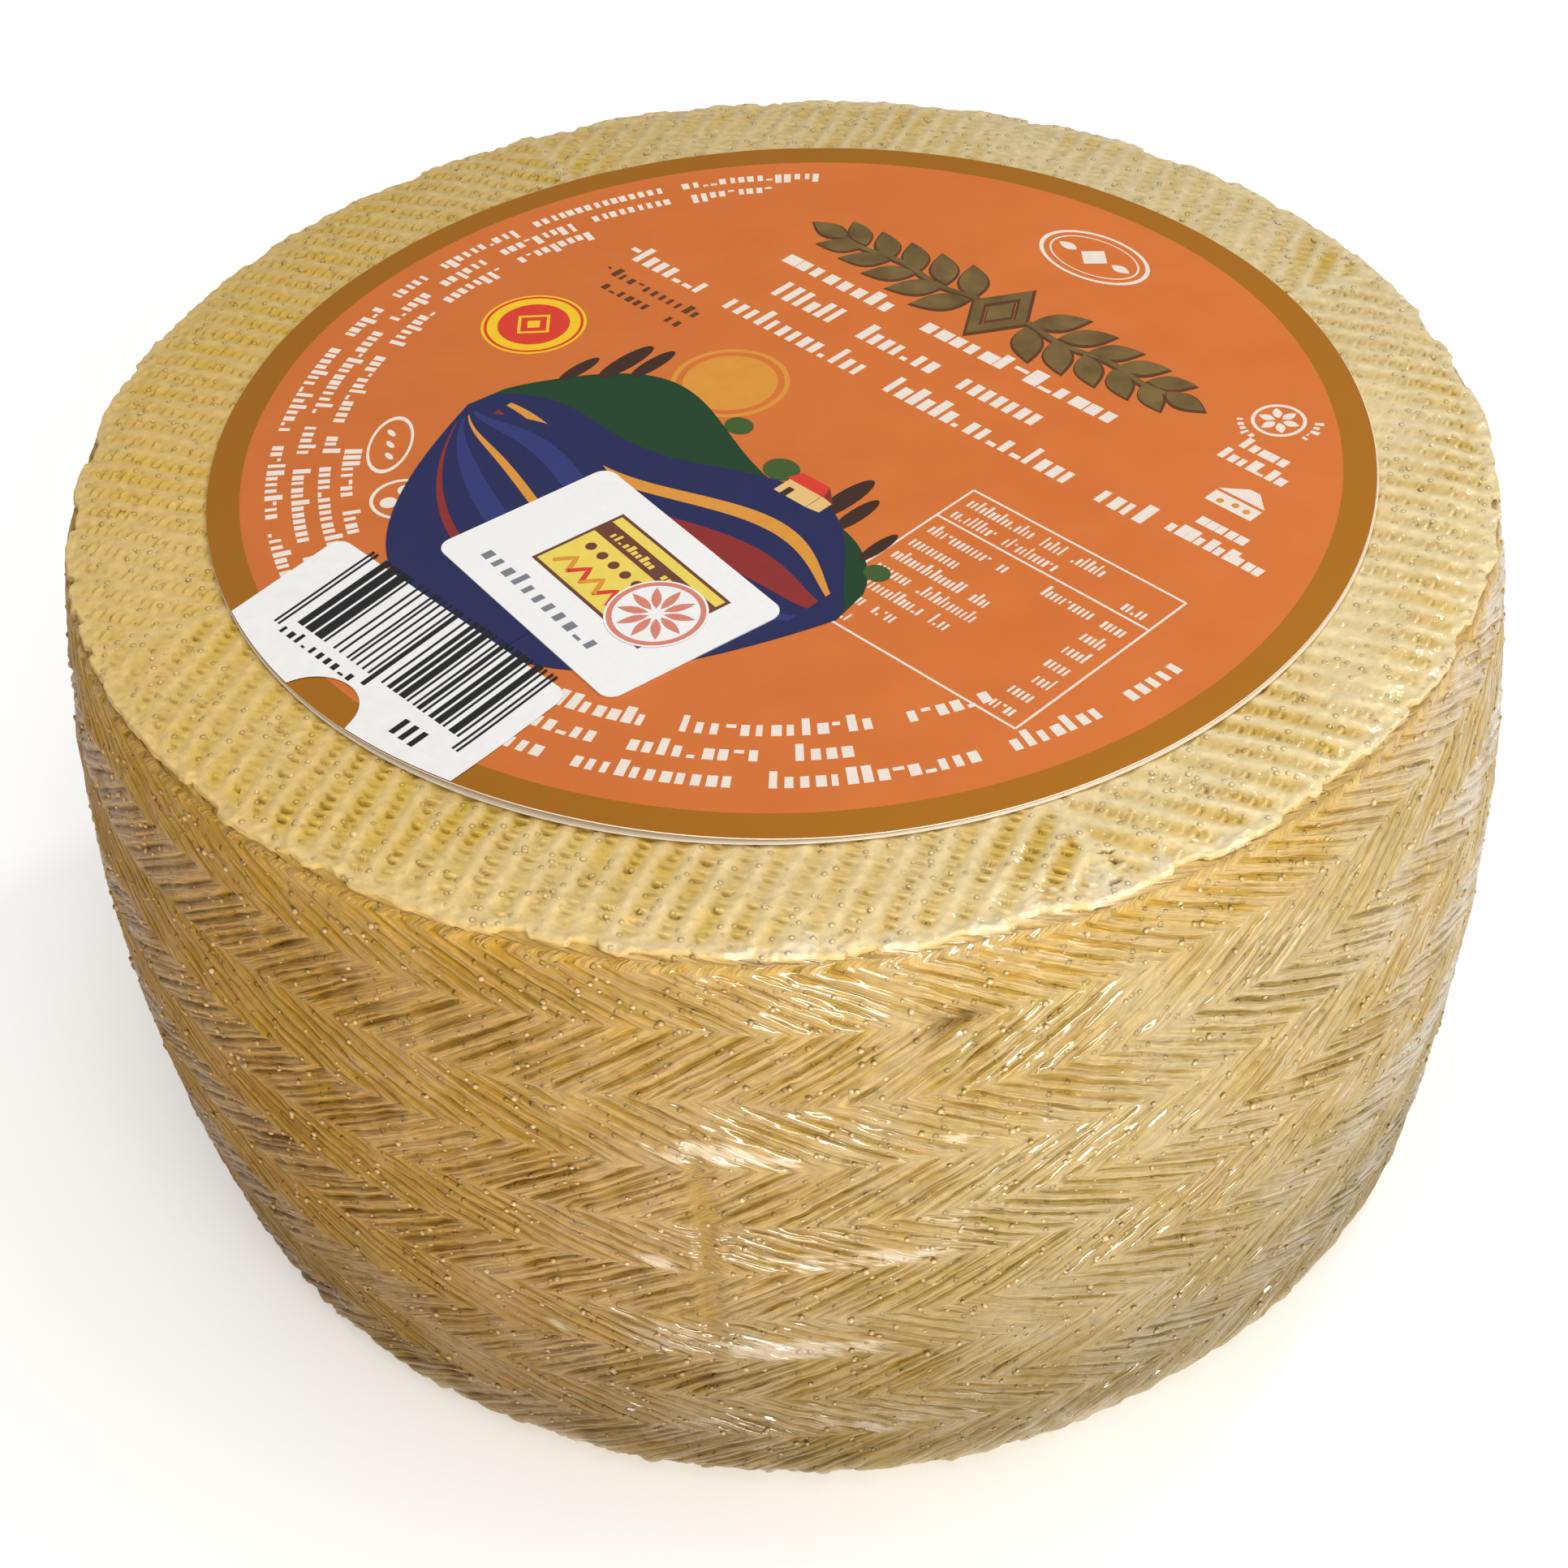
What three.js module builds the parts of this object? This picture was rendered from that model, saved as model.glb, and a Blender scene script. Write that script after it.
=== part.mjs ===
import * as THREE from "three";

// A whole pressed sheep's milk cheese wheel, standing on its lower face, with a round paper
// label of two plies on the upper face and a small rectangular paper sticker on the label.
// The mould's plaited band leaves slanting strands round the side, in rows that slant to the
// right and to the left by turns, and its two boards leave grooved quarters on both faces.
// Millimetres, +Z up. The origin is the middle of the lower face, and -Y is the front.

// Size and outline of the wheel
const faceHeight = 101.8;
const rimRadius = 92.1;
const rimHeight = 100.4;
const bellyRadius = 96;
const footRadius = 91.2;
const footHeight = 6;
const footShift = 0.95; // the foot stands a little to the right of the rim
const twoLobe = 0.93; // the side is a little wider from left to right than from front to back
const threeLobe = 0.46;

// Plaited band round the side
const strandCount = 142;
const strandDepth = 0.8;
const bandTop = 99.7;
const fallingRow = { height: 9.3, shift: 4.4 }; // shift counts strands, to the right going down
const risingRow = { height: 9.6, shift: -3.5 };
const rowPairs = 5;
const unevenness = 0.3;

// Grooved quarters on the two faces
const quarterTurn = Math.PI / 2;
const firstQuarter = THREE.MathUtils.degToRad(-23); // direction of the grooves of one quarter
const groovePitch = 3.7;
const grooveDepth = 0.5;
const smoothRadius = 73.5;
const groovedRadius = 75.5;
const upperEdge = [
  { radius: 88, drop: 0.1, groove: grooveDepth },
  { radius: 90.6, drop: 0.6, groove: 0.4 },
];
const lowerEdge = [
  { radius: 87.9, drop: 1.4, groove: 0.4 },
  { radius: 85.2, drop: 0, groove: grooveDepth },
];
const footRing = { radius: 90.2, height: 4.2 };

// Paper label, its backing ply and the sticker
const labelRadius = 75;
const labelCentre = new THREE.Vector2(1.4, 0);
const labelSegments = 72;
const backingRadius = 75.4;
const backingBottom = 101.9;
const backingThickness = 0.15;
const labelBottom = 102.15;
const labelThickness = 0.25;
const labelRings = [50, 66, 71];
const liftHeight = 0.7; // the label's edge has come loose at the front left
const liftAzimuth = THREE.MathUtils.degToRad(-117);
const liftSpread = THREE.MathUtils.degToRad(22);
const liftStart = 58;
const stickerLength = 38.5;
const stickerWidth = 26;
const stickerCorner = 2;
const stickerCentre = new THREE.Vector2(-23.2, -26.6);
const stickerTurn = THREE.MathUtils.degToRad(-55.5);
const stickerBottom = 102.5;
const stickerThickness = 0.2;

// A repeatable number between -0.5 and 0.5 for two whole numbers
function scatter(row, index) {
  const wave = Math.sin(row * 127.1 + index * 311.7) * 43758.5453;
  return wave - Math.floor(wave) - 0.5;
}

// Crest radius of the side: a belly between rim and foot, with lobes that fade out at the rim
function sideRadius(height, azimuth) {
  const s = (height - footHeight) / (rimHeight - footHeight);
  const round =
    footRadius * (1 - s) * (1 - 2 * s) + bellyRadius * 4 * s * (1 - s) + rimRadius * s * (2 * s - 1);
  const lobes = twoLobe * Math.cos(2 * azimuth) + threeLobe * Math.sin(3 * azimuth);
  return round + lobes * Math.sqrt(Math.max(0, 1 - s));
}

// Sideways place of the section at a height, which leans only below the belly
function sideShift(height) {
  const s = (height - footHeight) / (rimHeight - footHeight);
  return footShift * (1 - s) * (1 - 2 * s);
}

// A closed sheet of triangles built ring by ring, from the middle of the upper face over the
// rim and down the side to the middle of the lower face
class RingMesh {
  constructor() {
    this.positions = [];
    this.triangles = [];
  }

  point(x, y, z) {
    this.positions.push(x, y, z);
    return this.positions.length / 3 - 1;
  }

  // Joins ring b to ring a where both have the same number of points
  joinEven(a, b) {
    for (let i = 0; i < a.length; i += 1) {
      const next = (i + 1) % a.length;
      this.triangles.push(a[i].id, b[i].id, b[next].id);
      this.triangles.push(a[i].id, b[next].id, a[next].id);
    }
  }

  // Joins ring b to ring a in the order of a key that grows by one period round each ring
  joinByKey(a, b, key, period) {
    const ringA = [...a].sort((p, q) => p[key] - q[key]);
    const ringB = [...b].sort((p, q) => p[key] - q[key]);
    const keyAt = (ring, n) => ring[n % ring.length][key] + period * Math.floor(n / ring.length);
    let i = 0;
    let j = 0;
    while (i < ringA.length || j < ringB.length) {
      const stepA = i < ringA.length ? keyAt(ringA, i + 1) : Infinity;
      const stepB = j < ringB.length ? keyAt(ringB, j + 1) : Infinity;
      const here = ringA[i % ringA.length].id;
      const there = ringB[j % ringB.length].id;
      if (stepB <= stepA) {
        j += 1;
        this.triangles.push(here, there, ringB[j % ringB.length].id);
      } else {
        i += 1;
        this.triangles.push(here, there, ringA[i % ringA.length].id);
      }
    }
  }

  closeTop(ring, x, y, z) {
    const middle = this.point(x, y, z);
    ring.forEach((p, i) => this.triangles.push(middle, p.id, ring[(i + 1) % ring.length].id));
  }

  closeBottom(ring, x, y, z) {
    const middle = this.point(x, y, z);
    ring.forEach((p, i) => this.triangles.push(p.id, middle, ring[(i + 1) % ring.length].id));
  }

  geometry() {
    const geometry = new THREE.BufferGeometry();
    geometry.setAttribute("position", new THREE.Float32BufferAttribute(this.positions, 3));
    geometry.setIndex(this.triangles);
    geometry.computeVertexNormals();
    return geometry;
  }
}

// Ring of points on a grooved face. In each quarter the grooves run along its middle
// direction, so a point sits on every crest and valley line that crosses the circle, and one
// more where two quarters meet. The face's crests are at height, its valleys below by sink.
function faceRing(mesh, radius, height, sink, shift) {
  const ring = [];
  const half = radius * Math.SQRT1_2;
  const lineStep = groovePitch / 2;
  const lines = Math.floor((half - 0.3 * lineStep) / lineStep);
  for (let quarter = 0; quarter < 4; quarter += 1) {
    const direction = firstQuarter + quarter * quarterTurn;
    for (let line = -lines - 1; line <= lines; line += 1) {
      const onSeam = line < -lines;
      const across = onSeam ? -half : line * lineStep;
      const azimuth = direction + Math.asin(across / radius);
      const valley = onSeam ? 0.5 : Math.abs(line % 2);
      const x = shift + radius * Math.cos(azimuth);
      const y = radius * Math.sin(azimuth);
      ring.push({
        id: mesh.point(x, y, height - sink * valley),
        order: quarter * 4 * rimRadius + across,
        azimuth: THREE.MathUtils.euclideanModulo(azimuth, 2 * Math.PI),
      });
    }
  }
  return ring;
}

// Ring where two rows of strands meet: crests and valleys by turns, turned by some strands
function strandRing(mesh, row, height, turned, depth) {
  const ring = [];
  for (let i = 0; i < 2 * strandCount; i += 1) {
    const azimuth = (Math.PI / strandCount) * (i + 2 * turned);
    const crest = i % 2 === 0;
    const radius =
      sideRadius(height, azimuth) - (crest ? 0 : depth) + unevenness * scatter(row, i);
    const x = sideShift(height) + radius * Math.cos(azimuth);
    const y = radius * Math.sin(azimuth);
    ring.push({
      id: mesh.point(x, y, height),
      azimuth: THREE.MathUtils.euclideanModulo(azimuth, 2 * Math.PI),
    });
  }
  return ring;
}

// The wheel is one solid sheet of rings from the upper face to the lower one
function wheelGeometry() {
  const mesh = new RingMesh();
  const facePeriod = 16 * rimRadius;
  const footTurn = rowPairs * (fallingRow.shift + risingRow.shift);

  const smoothTop = faceRing(mesh, smoothRadius, faceHeight, 0, 0);
  mesh.closeTop(smoothTop, 0, 0, faceHeight);
  let above = smoothTop;
  const upper = [{ radius: groovedRadius, drop: 0, groove: grooveDepth }, ...upperEdge];
  for (const { radius, drop, groove } of upper) {
    const ring = faceRing(mesh, radius, faceHeight - drop, groove, 0);
    mesh.joinByKey(above, ring, "order", facePeriod);
    above = ring;
  }

  let height = bandTop;
  let turned = 0;
  let strands = strandRing(mesh, 0, height, turned, strandDepth / 2);
  mesh.joinByKey(above, strands, "azimuth", 2 * Math.PI);
  for (let row = 1; row <= 2 * rowPairs; row += 1) {
    const { height: rowHeight, shift } = row % 2 === 1 ? fallingRow : risingRow;
    height -= rowHeight;
    turned += shift;
    const ring = strandRing(mesh, row, height, turned, strandDepth);
    mesh.joinEven(strands, ring);
    strands = ring;
  }

  const foot = [];
  for (let i = 0; i < 2 * strandCount; i += 1) {
    const azimuth = (Math.PI / strandCount) * (i + 2 * footTurn);
    const x = footShift + footRing.radius * Math.cos(azimuth);
    const y = footRing.radius * Math.sin(azimuth);
    foot.push({
      id: mesh.point(x, y, footRing.height),
      azimuth: THREE.MathUtils.euclideanModulo(azimuth, 2 * Math.PI),
    });
  }
  mesh.joinEven(strands, foot);

  const lower = [...lowerEdge, { radius: groovedRadius, drop: 0, groove: grooveDepth }];
  above = null;
  for (const { radius, drop, groove } of lower) {
    const ring = faceRing(mesh, radius, drop, -groove, footShift);
    if (above) mesh.joinByKey(above, ring, "order", facePeriod);
    else mesh.joinByKey(foot, ring, "azimuth", 2 * Math.PI);
    above = ring;
  }
  const smoothBottom = faceRing(mesh, smoothRadius, 0, 0, footShift);
  mesh.joinByKey(above, smoothBottom, "order", facePeriod);
  mesh.closeBottom(smoothBottom, footShift, 0, 0);
  return mesh.geometry();
}

// How far the label's edge has lifted at a distance and azimuth from its centre
function labelLift(radius, azimuth) {
  const outward = THREE.MathUtils.clamp((radius - liftStart) / (labelRadius - liftStart), 0, 1);
  const around = (azimuth - liftAzimuth) / liftSpread;
  return liftHeight * outward * outward * Math.exp(-around * around);
}

// A round sheet of paper about the label's centre, made of rings on its upper and lower side
function paperDisc(radii, bottom, thickness, lift) {
  const mesh = new RingMesh();
  const ringAt = (radius, base) => {
    const ring = [];
    for (let i = 0; i < labelSegments; i += 1) {
      const azimuth = -Math.PI + (2 * Math.PI * i) / labelSegments;
      const x = labelCentre.x + radius * Math.cos(azimuth);
      const y = labelCentre.y + radius * Math.sin(azimuth);
      ring.push({ id: mesh.point(x, y, base + lift(radius, azimuth)) });
    }
    return ring;
  };
  const over = radii.map((radius) => ringAt(radius, bottom + thickness));
  const under = radii.map((radius) => ringAt(radius, bottom)).reverse();
  const rings = [...over, ...under];
  mesh.closeTop(rings[0], labelCentre.x, labelCentre.y, bottom + thickness);
  for (let i = 1; i < rings.length; i += 1) mesh.joinEven(rings[i - 1], rings[i]);
  mesh.closeBottom(rings[rings.length - 1], labelCentre.x, labelCentre.y, bottom);
  return mesh.geometry();
}

// Rectangle with round corners, for the sticker
function stickerGeometry() {
  const x = stickerLength / 2 - stickerCorner;
  const y = stickerWidth / 2 - stickerCorner;
  const outline = new THREE.Shape();
  outline.absarc(x, y, stickerCorner, 0, quarterTurn, false);
  outline.absarc(-x, y, stickerCorner, quarterTurn, 2 * quarterTurn, false);
  outline.absarc(-x, -y, stickerCorner, 2 * quarterTurn, 3 * quarterTurn, false);
  outline.absarc(x, -y, stickerCorner, 3 * quarterTurn, 4 * quarterTurn, false);
  return new THREE.ExtrudeGeometry(outline, {
    depth: stickerThickness,
    bevelEnabled: false,
    curveSegments: 4,
  });
}

function piece(name, geometry, color, roughness) {
  const material = new THREE.MeshStandardMaterial({ color, roughness, metalness: 0 });
  const mesh = new THREE.Mesh(geometry, material);
  mesh.name = name;
  return mesh;
}

const flat = () => 0;
const group = new THREE.Group();
group.add(piece("cheese_wheel", wheelGeometry(), 0xcfa663, 0.6));

const backing = paperDisc([backingRadius], backingBottom, backingThickness, flat);
group.add(piece("label_backing", backing, 0xe9dcc4, 0.7));

const label = paperDisc([...labelRings, labelRadius], labelBottom, labelThickness, labelLift);
group.add(piece("round_label", label, 0xd5743b, 0.45));

const sticker = piece("paper_sticker", stickerGeometry(), 0xf3f0ee, 0.6);
sticker.rotation.z = stickerTurn;
sticker.position.set(labelCentre.x + stickerCentre.x, labelCentre.y + stickerCentre.y, stickerBottom);
group.add(sticker);

export default group;
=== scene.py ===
import math

import bpy
import numpy as np
from mathutils import Matrix


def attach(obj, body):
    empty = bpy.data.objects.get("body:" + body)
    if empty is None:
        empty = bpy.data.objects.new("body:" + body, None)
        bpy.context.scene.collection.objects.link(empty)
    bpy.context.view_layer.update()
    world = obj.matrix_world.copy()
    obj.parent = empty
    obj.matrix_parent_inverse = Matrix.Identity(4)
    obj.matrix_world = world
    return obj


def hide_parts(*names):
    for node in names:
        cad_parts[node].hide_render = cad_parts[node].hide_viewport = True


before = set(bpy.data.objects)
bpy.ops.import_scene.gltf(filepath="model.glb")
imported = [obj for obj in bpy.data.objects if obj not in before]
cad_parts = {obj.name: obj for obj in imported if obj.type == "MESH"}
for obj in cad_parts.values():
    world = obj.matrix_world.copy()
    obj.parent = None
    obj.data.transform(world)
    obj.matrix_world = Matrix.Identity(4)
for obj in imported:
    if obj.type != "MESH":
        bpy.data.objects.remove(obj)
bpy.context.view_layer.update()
millimetre = 0.001
print("frame loaded, nodes:", sorted(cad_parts))


# General helpers

def linearColour(hexColour):
    # sRGB to linear: ((c + 0.055) / 1.055) to the power 2.4, or c / 12.92 for the darkest values
    c = np.array([int(hexColour[i:i + 2], 16) for i in (1, 3, 5)]) / 255
    linear = np.where(c > 0.04045, ((c + 0.055) / 1.055) ** 2.4, c / 12.92)
    return (float(linear[0]), float(linear[1]), float(linear[2]), 1.0)


def ease(value, start, end):
    # 0 up to start, 1 from end, and the smooth curve 3t^2 - 2t^3 between them
    t = np.clip((value - start) / (end - start), 0, 1)
    return t * t * (3 - 2 * t)


def softNoise(seed, x, y, period):
    # Random values from -1 to 1 on the whole numbers of x and y, eased in between. x closes after period
    table = np.random.default_rng(seed).uniform(-1, 1, (period, 64))
    x, y = np.broadcast_arrays(x, y)
    column = np.floor(x).astype(int)
    row = np.floor(y).astype(int)
    a = ease(x - column, 0, 1)
    b = ease(y - row, 0, 1)
    near = table[column % period, row % 64] * (1 - a) + table[(column + 1) % period, row % 64] * a
    far = table[column % period, (row + 1) % 64] * (1 - a) + table[(column + 1) % period, (row + 1) % 64] * a
    return near * (1 - b) + far * b


def uneven(name, azimuth, height):
    # One of the kinds of unevenness, laid round the wheel: its amount times softNoise in cells of its size
    seed, size, amount = unevenness[name]
    cells = int(round(2 * math.pi * wheel["bellyRadius"] / size))
    return amount * softNoise(seed, azimuth / (2 * math.pi) * cells, height / size, cells)


def newMesh(name, points, quads, triangles=None):
    # Points in millimetres, and faces as whole arrays of point numbers
    mesh = bpy.data.meshes.new(name)
    triangles = np.zeros((0, 3), int) if triangles is None else triangles
    corners = np.concatenate([quads.ravel(), triangles.ravel()])
    sizes = np.concatenate([np.full(len(quads), 4), np.full(len(triangles), 3)])
    mesh.vertices.add(len(points))
    mesh.vertices.foreach_set("co", (points * millimetre).astype(np.float32).ravel())
    mesh.loops.add(len(corners))
    mesh.loops.foreach_set("vertex_index", corners.astype(np.int32))
    mesh.polygons.add(len(sizes))
    mesh.polygons.foreach_set("loop_start", (np.cumsum(sizes) - sizes).astype(np.int32))
    mesh.polygons.foreach_set("use_smooth", np.ones(len(sizes), bool))
    mesh.update(calc_edges=True)
    return mesh


def setAttribute(mesh, name, values):
    attribute = mesh.attributes.new(name, "FLOAT", "POINT")
    attribute.data.foreach_set("value", np.asarray(values, np.float32).ravel())


def sharpenRings(mesh, columns, rings):
    # Marks the edges that run along some of the rings of a round grid as sharp
    edges = np.empty(len(mesh.edges) * 2, np.int32)
    mesh.edges.foreach_get("vertices", edges)
    ringOf = edges.reshape(-1, 2) // columns
    along = (ringOf[:, 0] == ringOf[:, 1]) & np.isin(ringOf[:, 0], rings)
    mesh.attributes.new("sharp_edge", "BOOLEAN", "EDGE").data.foreach_set("value", along)


def poleTriangles(columns, rows):
    # Fans from the first and the last ring of a round grid to two points that follow it, a pole at each end
    first = np.arange(columns)
    last = (rows - 1) * columns + first
    pole = rows * columns
    upper = np.stack([np.full(columns, pole), first, np.roll(first, -1)], -1)
    lower = np.stack([last, np.full(columns, pole + 1), np.roll(last, -1)], -1)
    return np.concatenate([upper, lower])


def addPiece(name, mesh, slot, materials, *nodes):
    # Links a finished mesh as a piece of the object, which may stand for CAD nodes
    piece = bpy.data.objects.new(name, mesh)
    bpy.context.scene.collection.objects.link(piece)
    for material in materials:
        mesh.materials.append(material)
    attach(piece, "root")
    if nodes:
        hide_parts(*nodes)
    return piece


def gridQuads(rows, columns, closedRows, closedColumns):
    # Quads between neighbours of a grid of points. Rows run down and columns to the right, seen from outside
    row = np.arange(rows if closedRows else rows - 1)[:, None]
    column = np.arange(columns if closedColumns else columns - 1)[None, :]
    below = (row + 1) % rows
    right = (column + 1) % columns
    upper = row * columns
    lower = below * columns
    corners = np.broadcast_arrays(upper + column, lower + column, lower + right, upper + right)
    return np.stack(corners, -1).reshape(-1, 4)


def addNode(tree, kind, inputs=None, output=0, **settings):
    # Adds one shader node, sets its properties, gives its inputs values, hex colours or links, and returns
    # one of its outputs
    node = tree.nodes.new("ShaderNode" + kind)
    for key, value in settings.items():
        setattr(node, key, value)
    for key, value in (inputs or {}).items():
        if isinstance(value, bpy.types.NodeSocket):
            tree.links.new(value, node.inputs[key])
        else:
            node.inputs[key].default_value = linearColour(value) if isinstance(value, str) else value
    return node.outputs[output] if node.outputs else None


def newMaterial(name):
    material = bpy.data.materials.new(name)
    material.use_nodes = True
    material.node_tree.nodes.clear()
    return material, material.node_tree


def finishMaterial(tree, inputs):
    shader = addNode(tree, "BsdfPrincipled", inputs)
    addNode(tree, "OutputMaterial", {"Surface": shader})


def layColours(tree, colour, layers):
    # Lays colours over a first one, each by its mark times an amount
    for mark, amount, layer in layers:
        share = addNode(tree, "Math", {0: mark, 1: amount}, operation="MULTIPLY", use_clamp=True)
        colour = addNode(tree, "Mix", {0: share, 6: colour, 7: layer}, 2, data_type="RGBA")
    return colour


def easedProduct(tree, ranges):
    # Product of values, each eased from one range to another: value, low, high, result at low and at high
    product = None
    for value, low, high, atLow, atHigh in ranges:
        eased = addNode(tree, "MapRange", {0: value, 1: low, 2: high, 3: atLow, 4: atHigh},
                        interpolation_type="SMOOTHSTEP")
        if product is None:
            product = eased
        else:
            product = addNode(tree, "Math", {0: product, 1: eased}, operation="MULTIPLY")
    return product


def layBumps(tree, layers):
    # Bumps on one another: height, strength and distance in millimetres of each
    below = {}
    for height, strength, distance in layers:
        inputs = {"Height": height, "Strength": strength, "Distance": distance * millimetre}
        below = {"Normal": addNode(tree, "Bump", {**inputs, **below})}
    return below["Normal"]


def shaded(tree, colour, light):
    # Colour times a brightness
    grey = addNode(tree, "CombineColor", {0: light, 1: light, 2: light})
    return addNode(tree, "Mix", {0: 1.0, 6: colour, 7: grey}, 2, data_type="RGBA", blend_type="MULTIPLY")


# Outline of the wheel, the same as the frame's

wheel = {
    "faceHeight": 101.8,
    "rimRadius": 92.1,
    "rimHeight": 100.4,
    "bellyRadius": 96.0,
    "footRadius": 91.2,
    "footHeight": 6.0,
    "footShift": 0.95,  # the foot stands a little to the right of the rim
    "twoLobe": 0.93,
    "threeLobe": 0.46,
    "inset": 0.38,  # keeps the highest pimples inside the frame's box
}

band = {
    "strands": 142,
    "columnsPerStrand": 12,
    "stepsPerRow": 16,
    "top": 99.7,
    "fallingHeight": 9.3,
    "fallingShift": 4.4,  # in strands, to the right going down
    "risingHeight": 9.6,
    "risingShift": -3.5,
    "rows": 10,
    "uprightRows": 9.625,  # the rest of the last row turns under at the foot
    "partRow": 0.11,  # the end of one more rising row shows below the lip
    "partShift": 0.38,
    "sag": 1.7,  # the rows' edges hang down a little round the fourth one
    "cove": 0.1,  # each row is hollow between its edges
    "main": {"place": 0.5, "wander": 0.1, "weakest": 0.4, "strongest": 0.95},
    "middle": {"place": 0.0, "wander": 0.14, "weakest": 0.25, "strongest": 0.95},
    "fallingGroove": {"width": 0.11, "depth": 0.4, "rounding": 0.26, "second": 0.5},
    "risingGroove": {"width": 0.105, "depth": 0.46, "rounding": 0.26, "second": 0.9},
    "seamAzimuth": -98.2,  # the band's ends meet here
    "seamTop": 78.0,
    "seamBottom": 34.0,
    "seamWidth": 1.25,
    "fibreStretch": 2.0,  # in millimetres of the fibres' pattern for each row
}

faceBoard = {
    "firstQuarter": -23.0,  # direction of the grooves in one of the four quarters
    "pitch": 3.7,
    "troughDepth": 0.27,
    "troughHalfWidth": 1.3,
    "scalePitch": 1.45,
    "scaleLength": 0.46,  # half of it, in millimetres along the groove
    "scaleWidth": 0.86,  # half of it, across the groove
    "scaleHeight": 0.42,
    "crescentDepth": 0.26,
    "ringStep": 0.215,
}

# The side is uneven in many sizes at once. Each kind has its seed, its size in millimetres and its amount,
# which is in millimetres where it moves the surface
unevenness = {
    "seamWander": (24, 9, 0.8),
    "wornPlaces": (33, 10, 1.0),
    "strandStrength": (23, 14, 0.25),
    "longBreaks": (35, 3.2, 1.0),
    "shortBreaks": (36, 1.5, 0.5),
    "coveDepth": (25, 26, 0.5),
    "creaseDepth": (29, 5, 1.0),
    "roughLarge": (30, 2.8, 0.11),
    "roughSmall": (31, 1.4, 0.1),
    "dents": (27, 30, 0.16),
    "dimples": (28, 7, 0.1),
    "rowWaver": (71, 21, 0.5),
    "amberPatches": (72, 16, 0.35),
    "flakeEdge": (74, 1.4, 0.3),
    "flakeTeeth": (78, 0.8, 0.2),
    "sheenAndWearPatches": (79, 9, 1.0),
    "smudgeGrain": (76, 1.2, 0.6),
    "footLumps": (81, 6, 0.5),
    "footCrumbs": (82, 2.4, 0.75),
    "footBreaks": (84, 3.5, 1.0),
    "footFlakes": (83, 4, 1.0),
    "footFlakeEdge": (85, 1.2, 0.5),
}

lip = {
    "radius": 91.45,
    "round": 0.26,
    "underHeight": 99.5,
    "tuck": 0.35,
    "slope": 0.62,  # how far the upper face falls towards it
    "scallops": (41, 74, 0.45),  # seed, number round the wheel and size
    "nicks": (42, 230, 0.3),
    "teeth": (45, 480, 0.22),
    "crumbled": (43, 150, 0.65),
    "crumbs": (44, 300, 0.3),
    "fineCrumbs": (48, 620, 0.2),
}

upperFace = {"hiddenRings": (40.0, 66.0), "shownFrom": 72.6, "gap": 0.02}

lowerFace = {"edge": 85.2, "turnIn": 1.3, "innerRing": 73.2, "disc": 73.9, "discCells": 280}

# A brown smudge on the side: place, half length and half width, and how it slants
smudge = {"azimuth": -80.3, "height": 89.5, "halfLength": 2.9, "halfWidth": 0.9, "run": 0.95, "rise": 0.31}

# Middle and half width, in degrees round the wheel, of where the dry skin flakes most
dryPlaces = {"side": (267, 17), "foot": (298, 16)}

# Chalky flakes on the lip: azimuth in degrees, distance from the axis and size in millimetres
chalk = [
    (-64.5, 90.6, 3.6),
    (-68.5, 91.0, 4.2),
    (-73.0, 91.4, 3.6),
    (-77.5, 91.6, 2.6),
    (-84.0, 91.5, 2.4),
    (-90.0, 91.2, 3.2),
    (-94.5, 91.5, 2.2),
    (-58.0, 91.0, 2.4),
]

# Short slits in the upper face: place, direction in degrees, length and width in millimetres
slits = [(33.2, -78.9, 8, 1.7, 0.13), (34.1, -80.2, -12, 1.5, 0.12), (33.7, -83.2, 34, 1.9, 0.16)]


def sideRadius(height, azimuth):
    # Belly curve through foot, belly and rim, with two and three lobes that fade out at the rim
    s = (height - wheel["footHeight"]) / (wheel["rimHeight"] - wheel["footHeight"])
    curve = wheel["footRadius"] * (1 - s) * (1 - 2 * s) + wheel["bellyRadius"] * 4 * s * (1 - s)
    curve = curve + wheel["rimRadius"] * s * (2 * s - 1)
    lobes = wheel["twoLobe"] * np.cos(2 * azimuth) + wheel["threeLobe"] * np.sin(3 * azimuth)
    return curve + lobes * np.sqrt(np.clip(1 - s, 0, None)) - wheel["inset"]


def sideShift(height):
    s = (height - wheel["footHeight"]) / (wheel["rimHeight"] - wheel["footHeight"])
    return wheel["footShift"] * (1 - s) * (1 - 2 * s)


def turnFrom(azimuth, degrees):
    # Angle from a direction, between half a turn to either side
    return (azimuth - math.radians(degrees) + math.pi) % (2 * math.pi) - math.pi


def seamPlace(azimuth, height):
    # Distance from the seam of the band, how much of the seam there is, and where its height shows it
    fromSeam = turnFrom(azimuth, band["seamAzimuth"]) * wheel["bellyRadius"]
    fromSeam = fromSeam + uneven("seamWander", azimuth, height)
    shown = 1 - ease(height, band["seamTop"] - 4, band["seamTop"])
    shown = shown * ease(height, band["seamBottom"], band["seamBottom"] + 8)
    return fromSeam, shown * np.exp(-(fromSeam / band["seamWidth"]) ** 2), shown


def dryness(name, azimuth):
    # Bell round one of the dry places
    middle, halfWidth = dryPlaces[name]
    return np.exp(-((np.degrees(azimuth) % 360 - middle) / halfWidth) ** 2)


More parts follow.
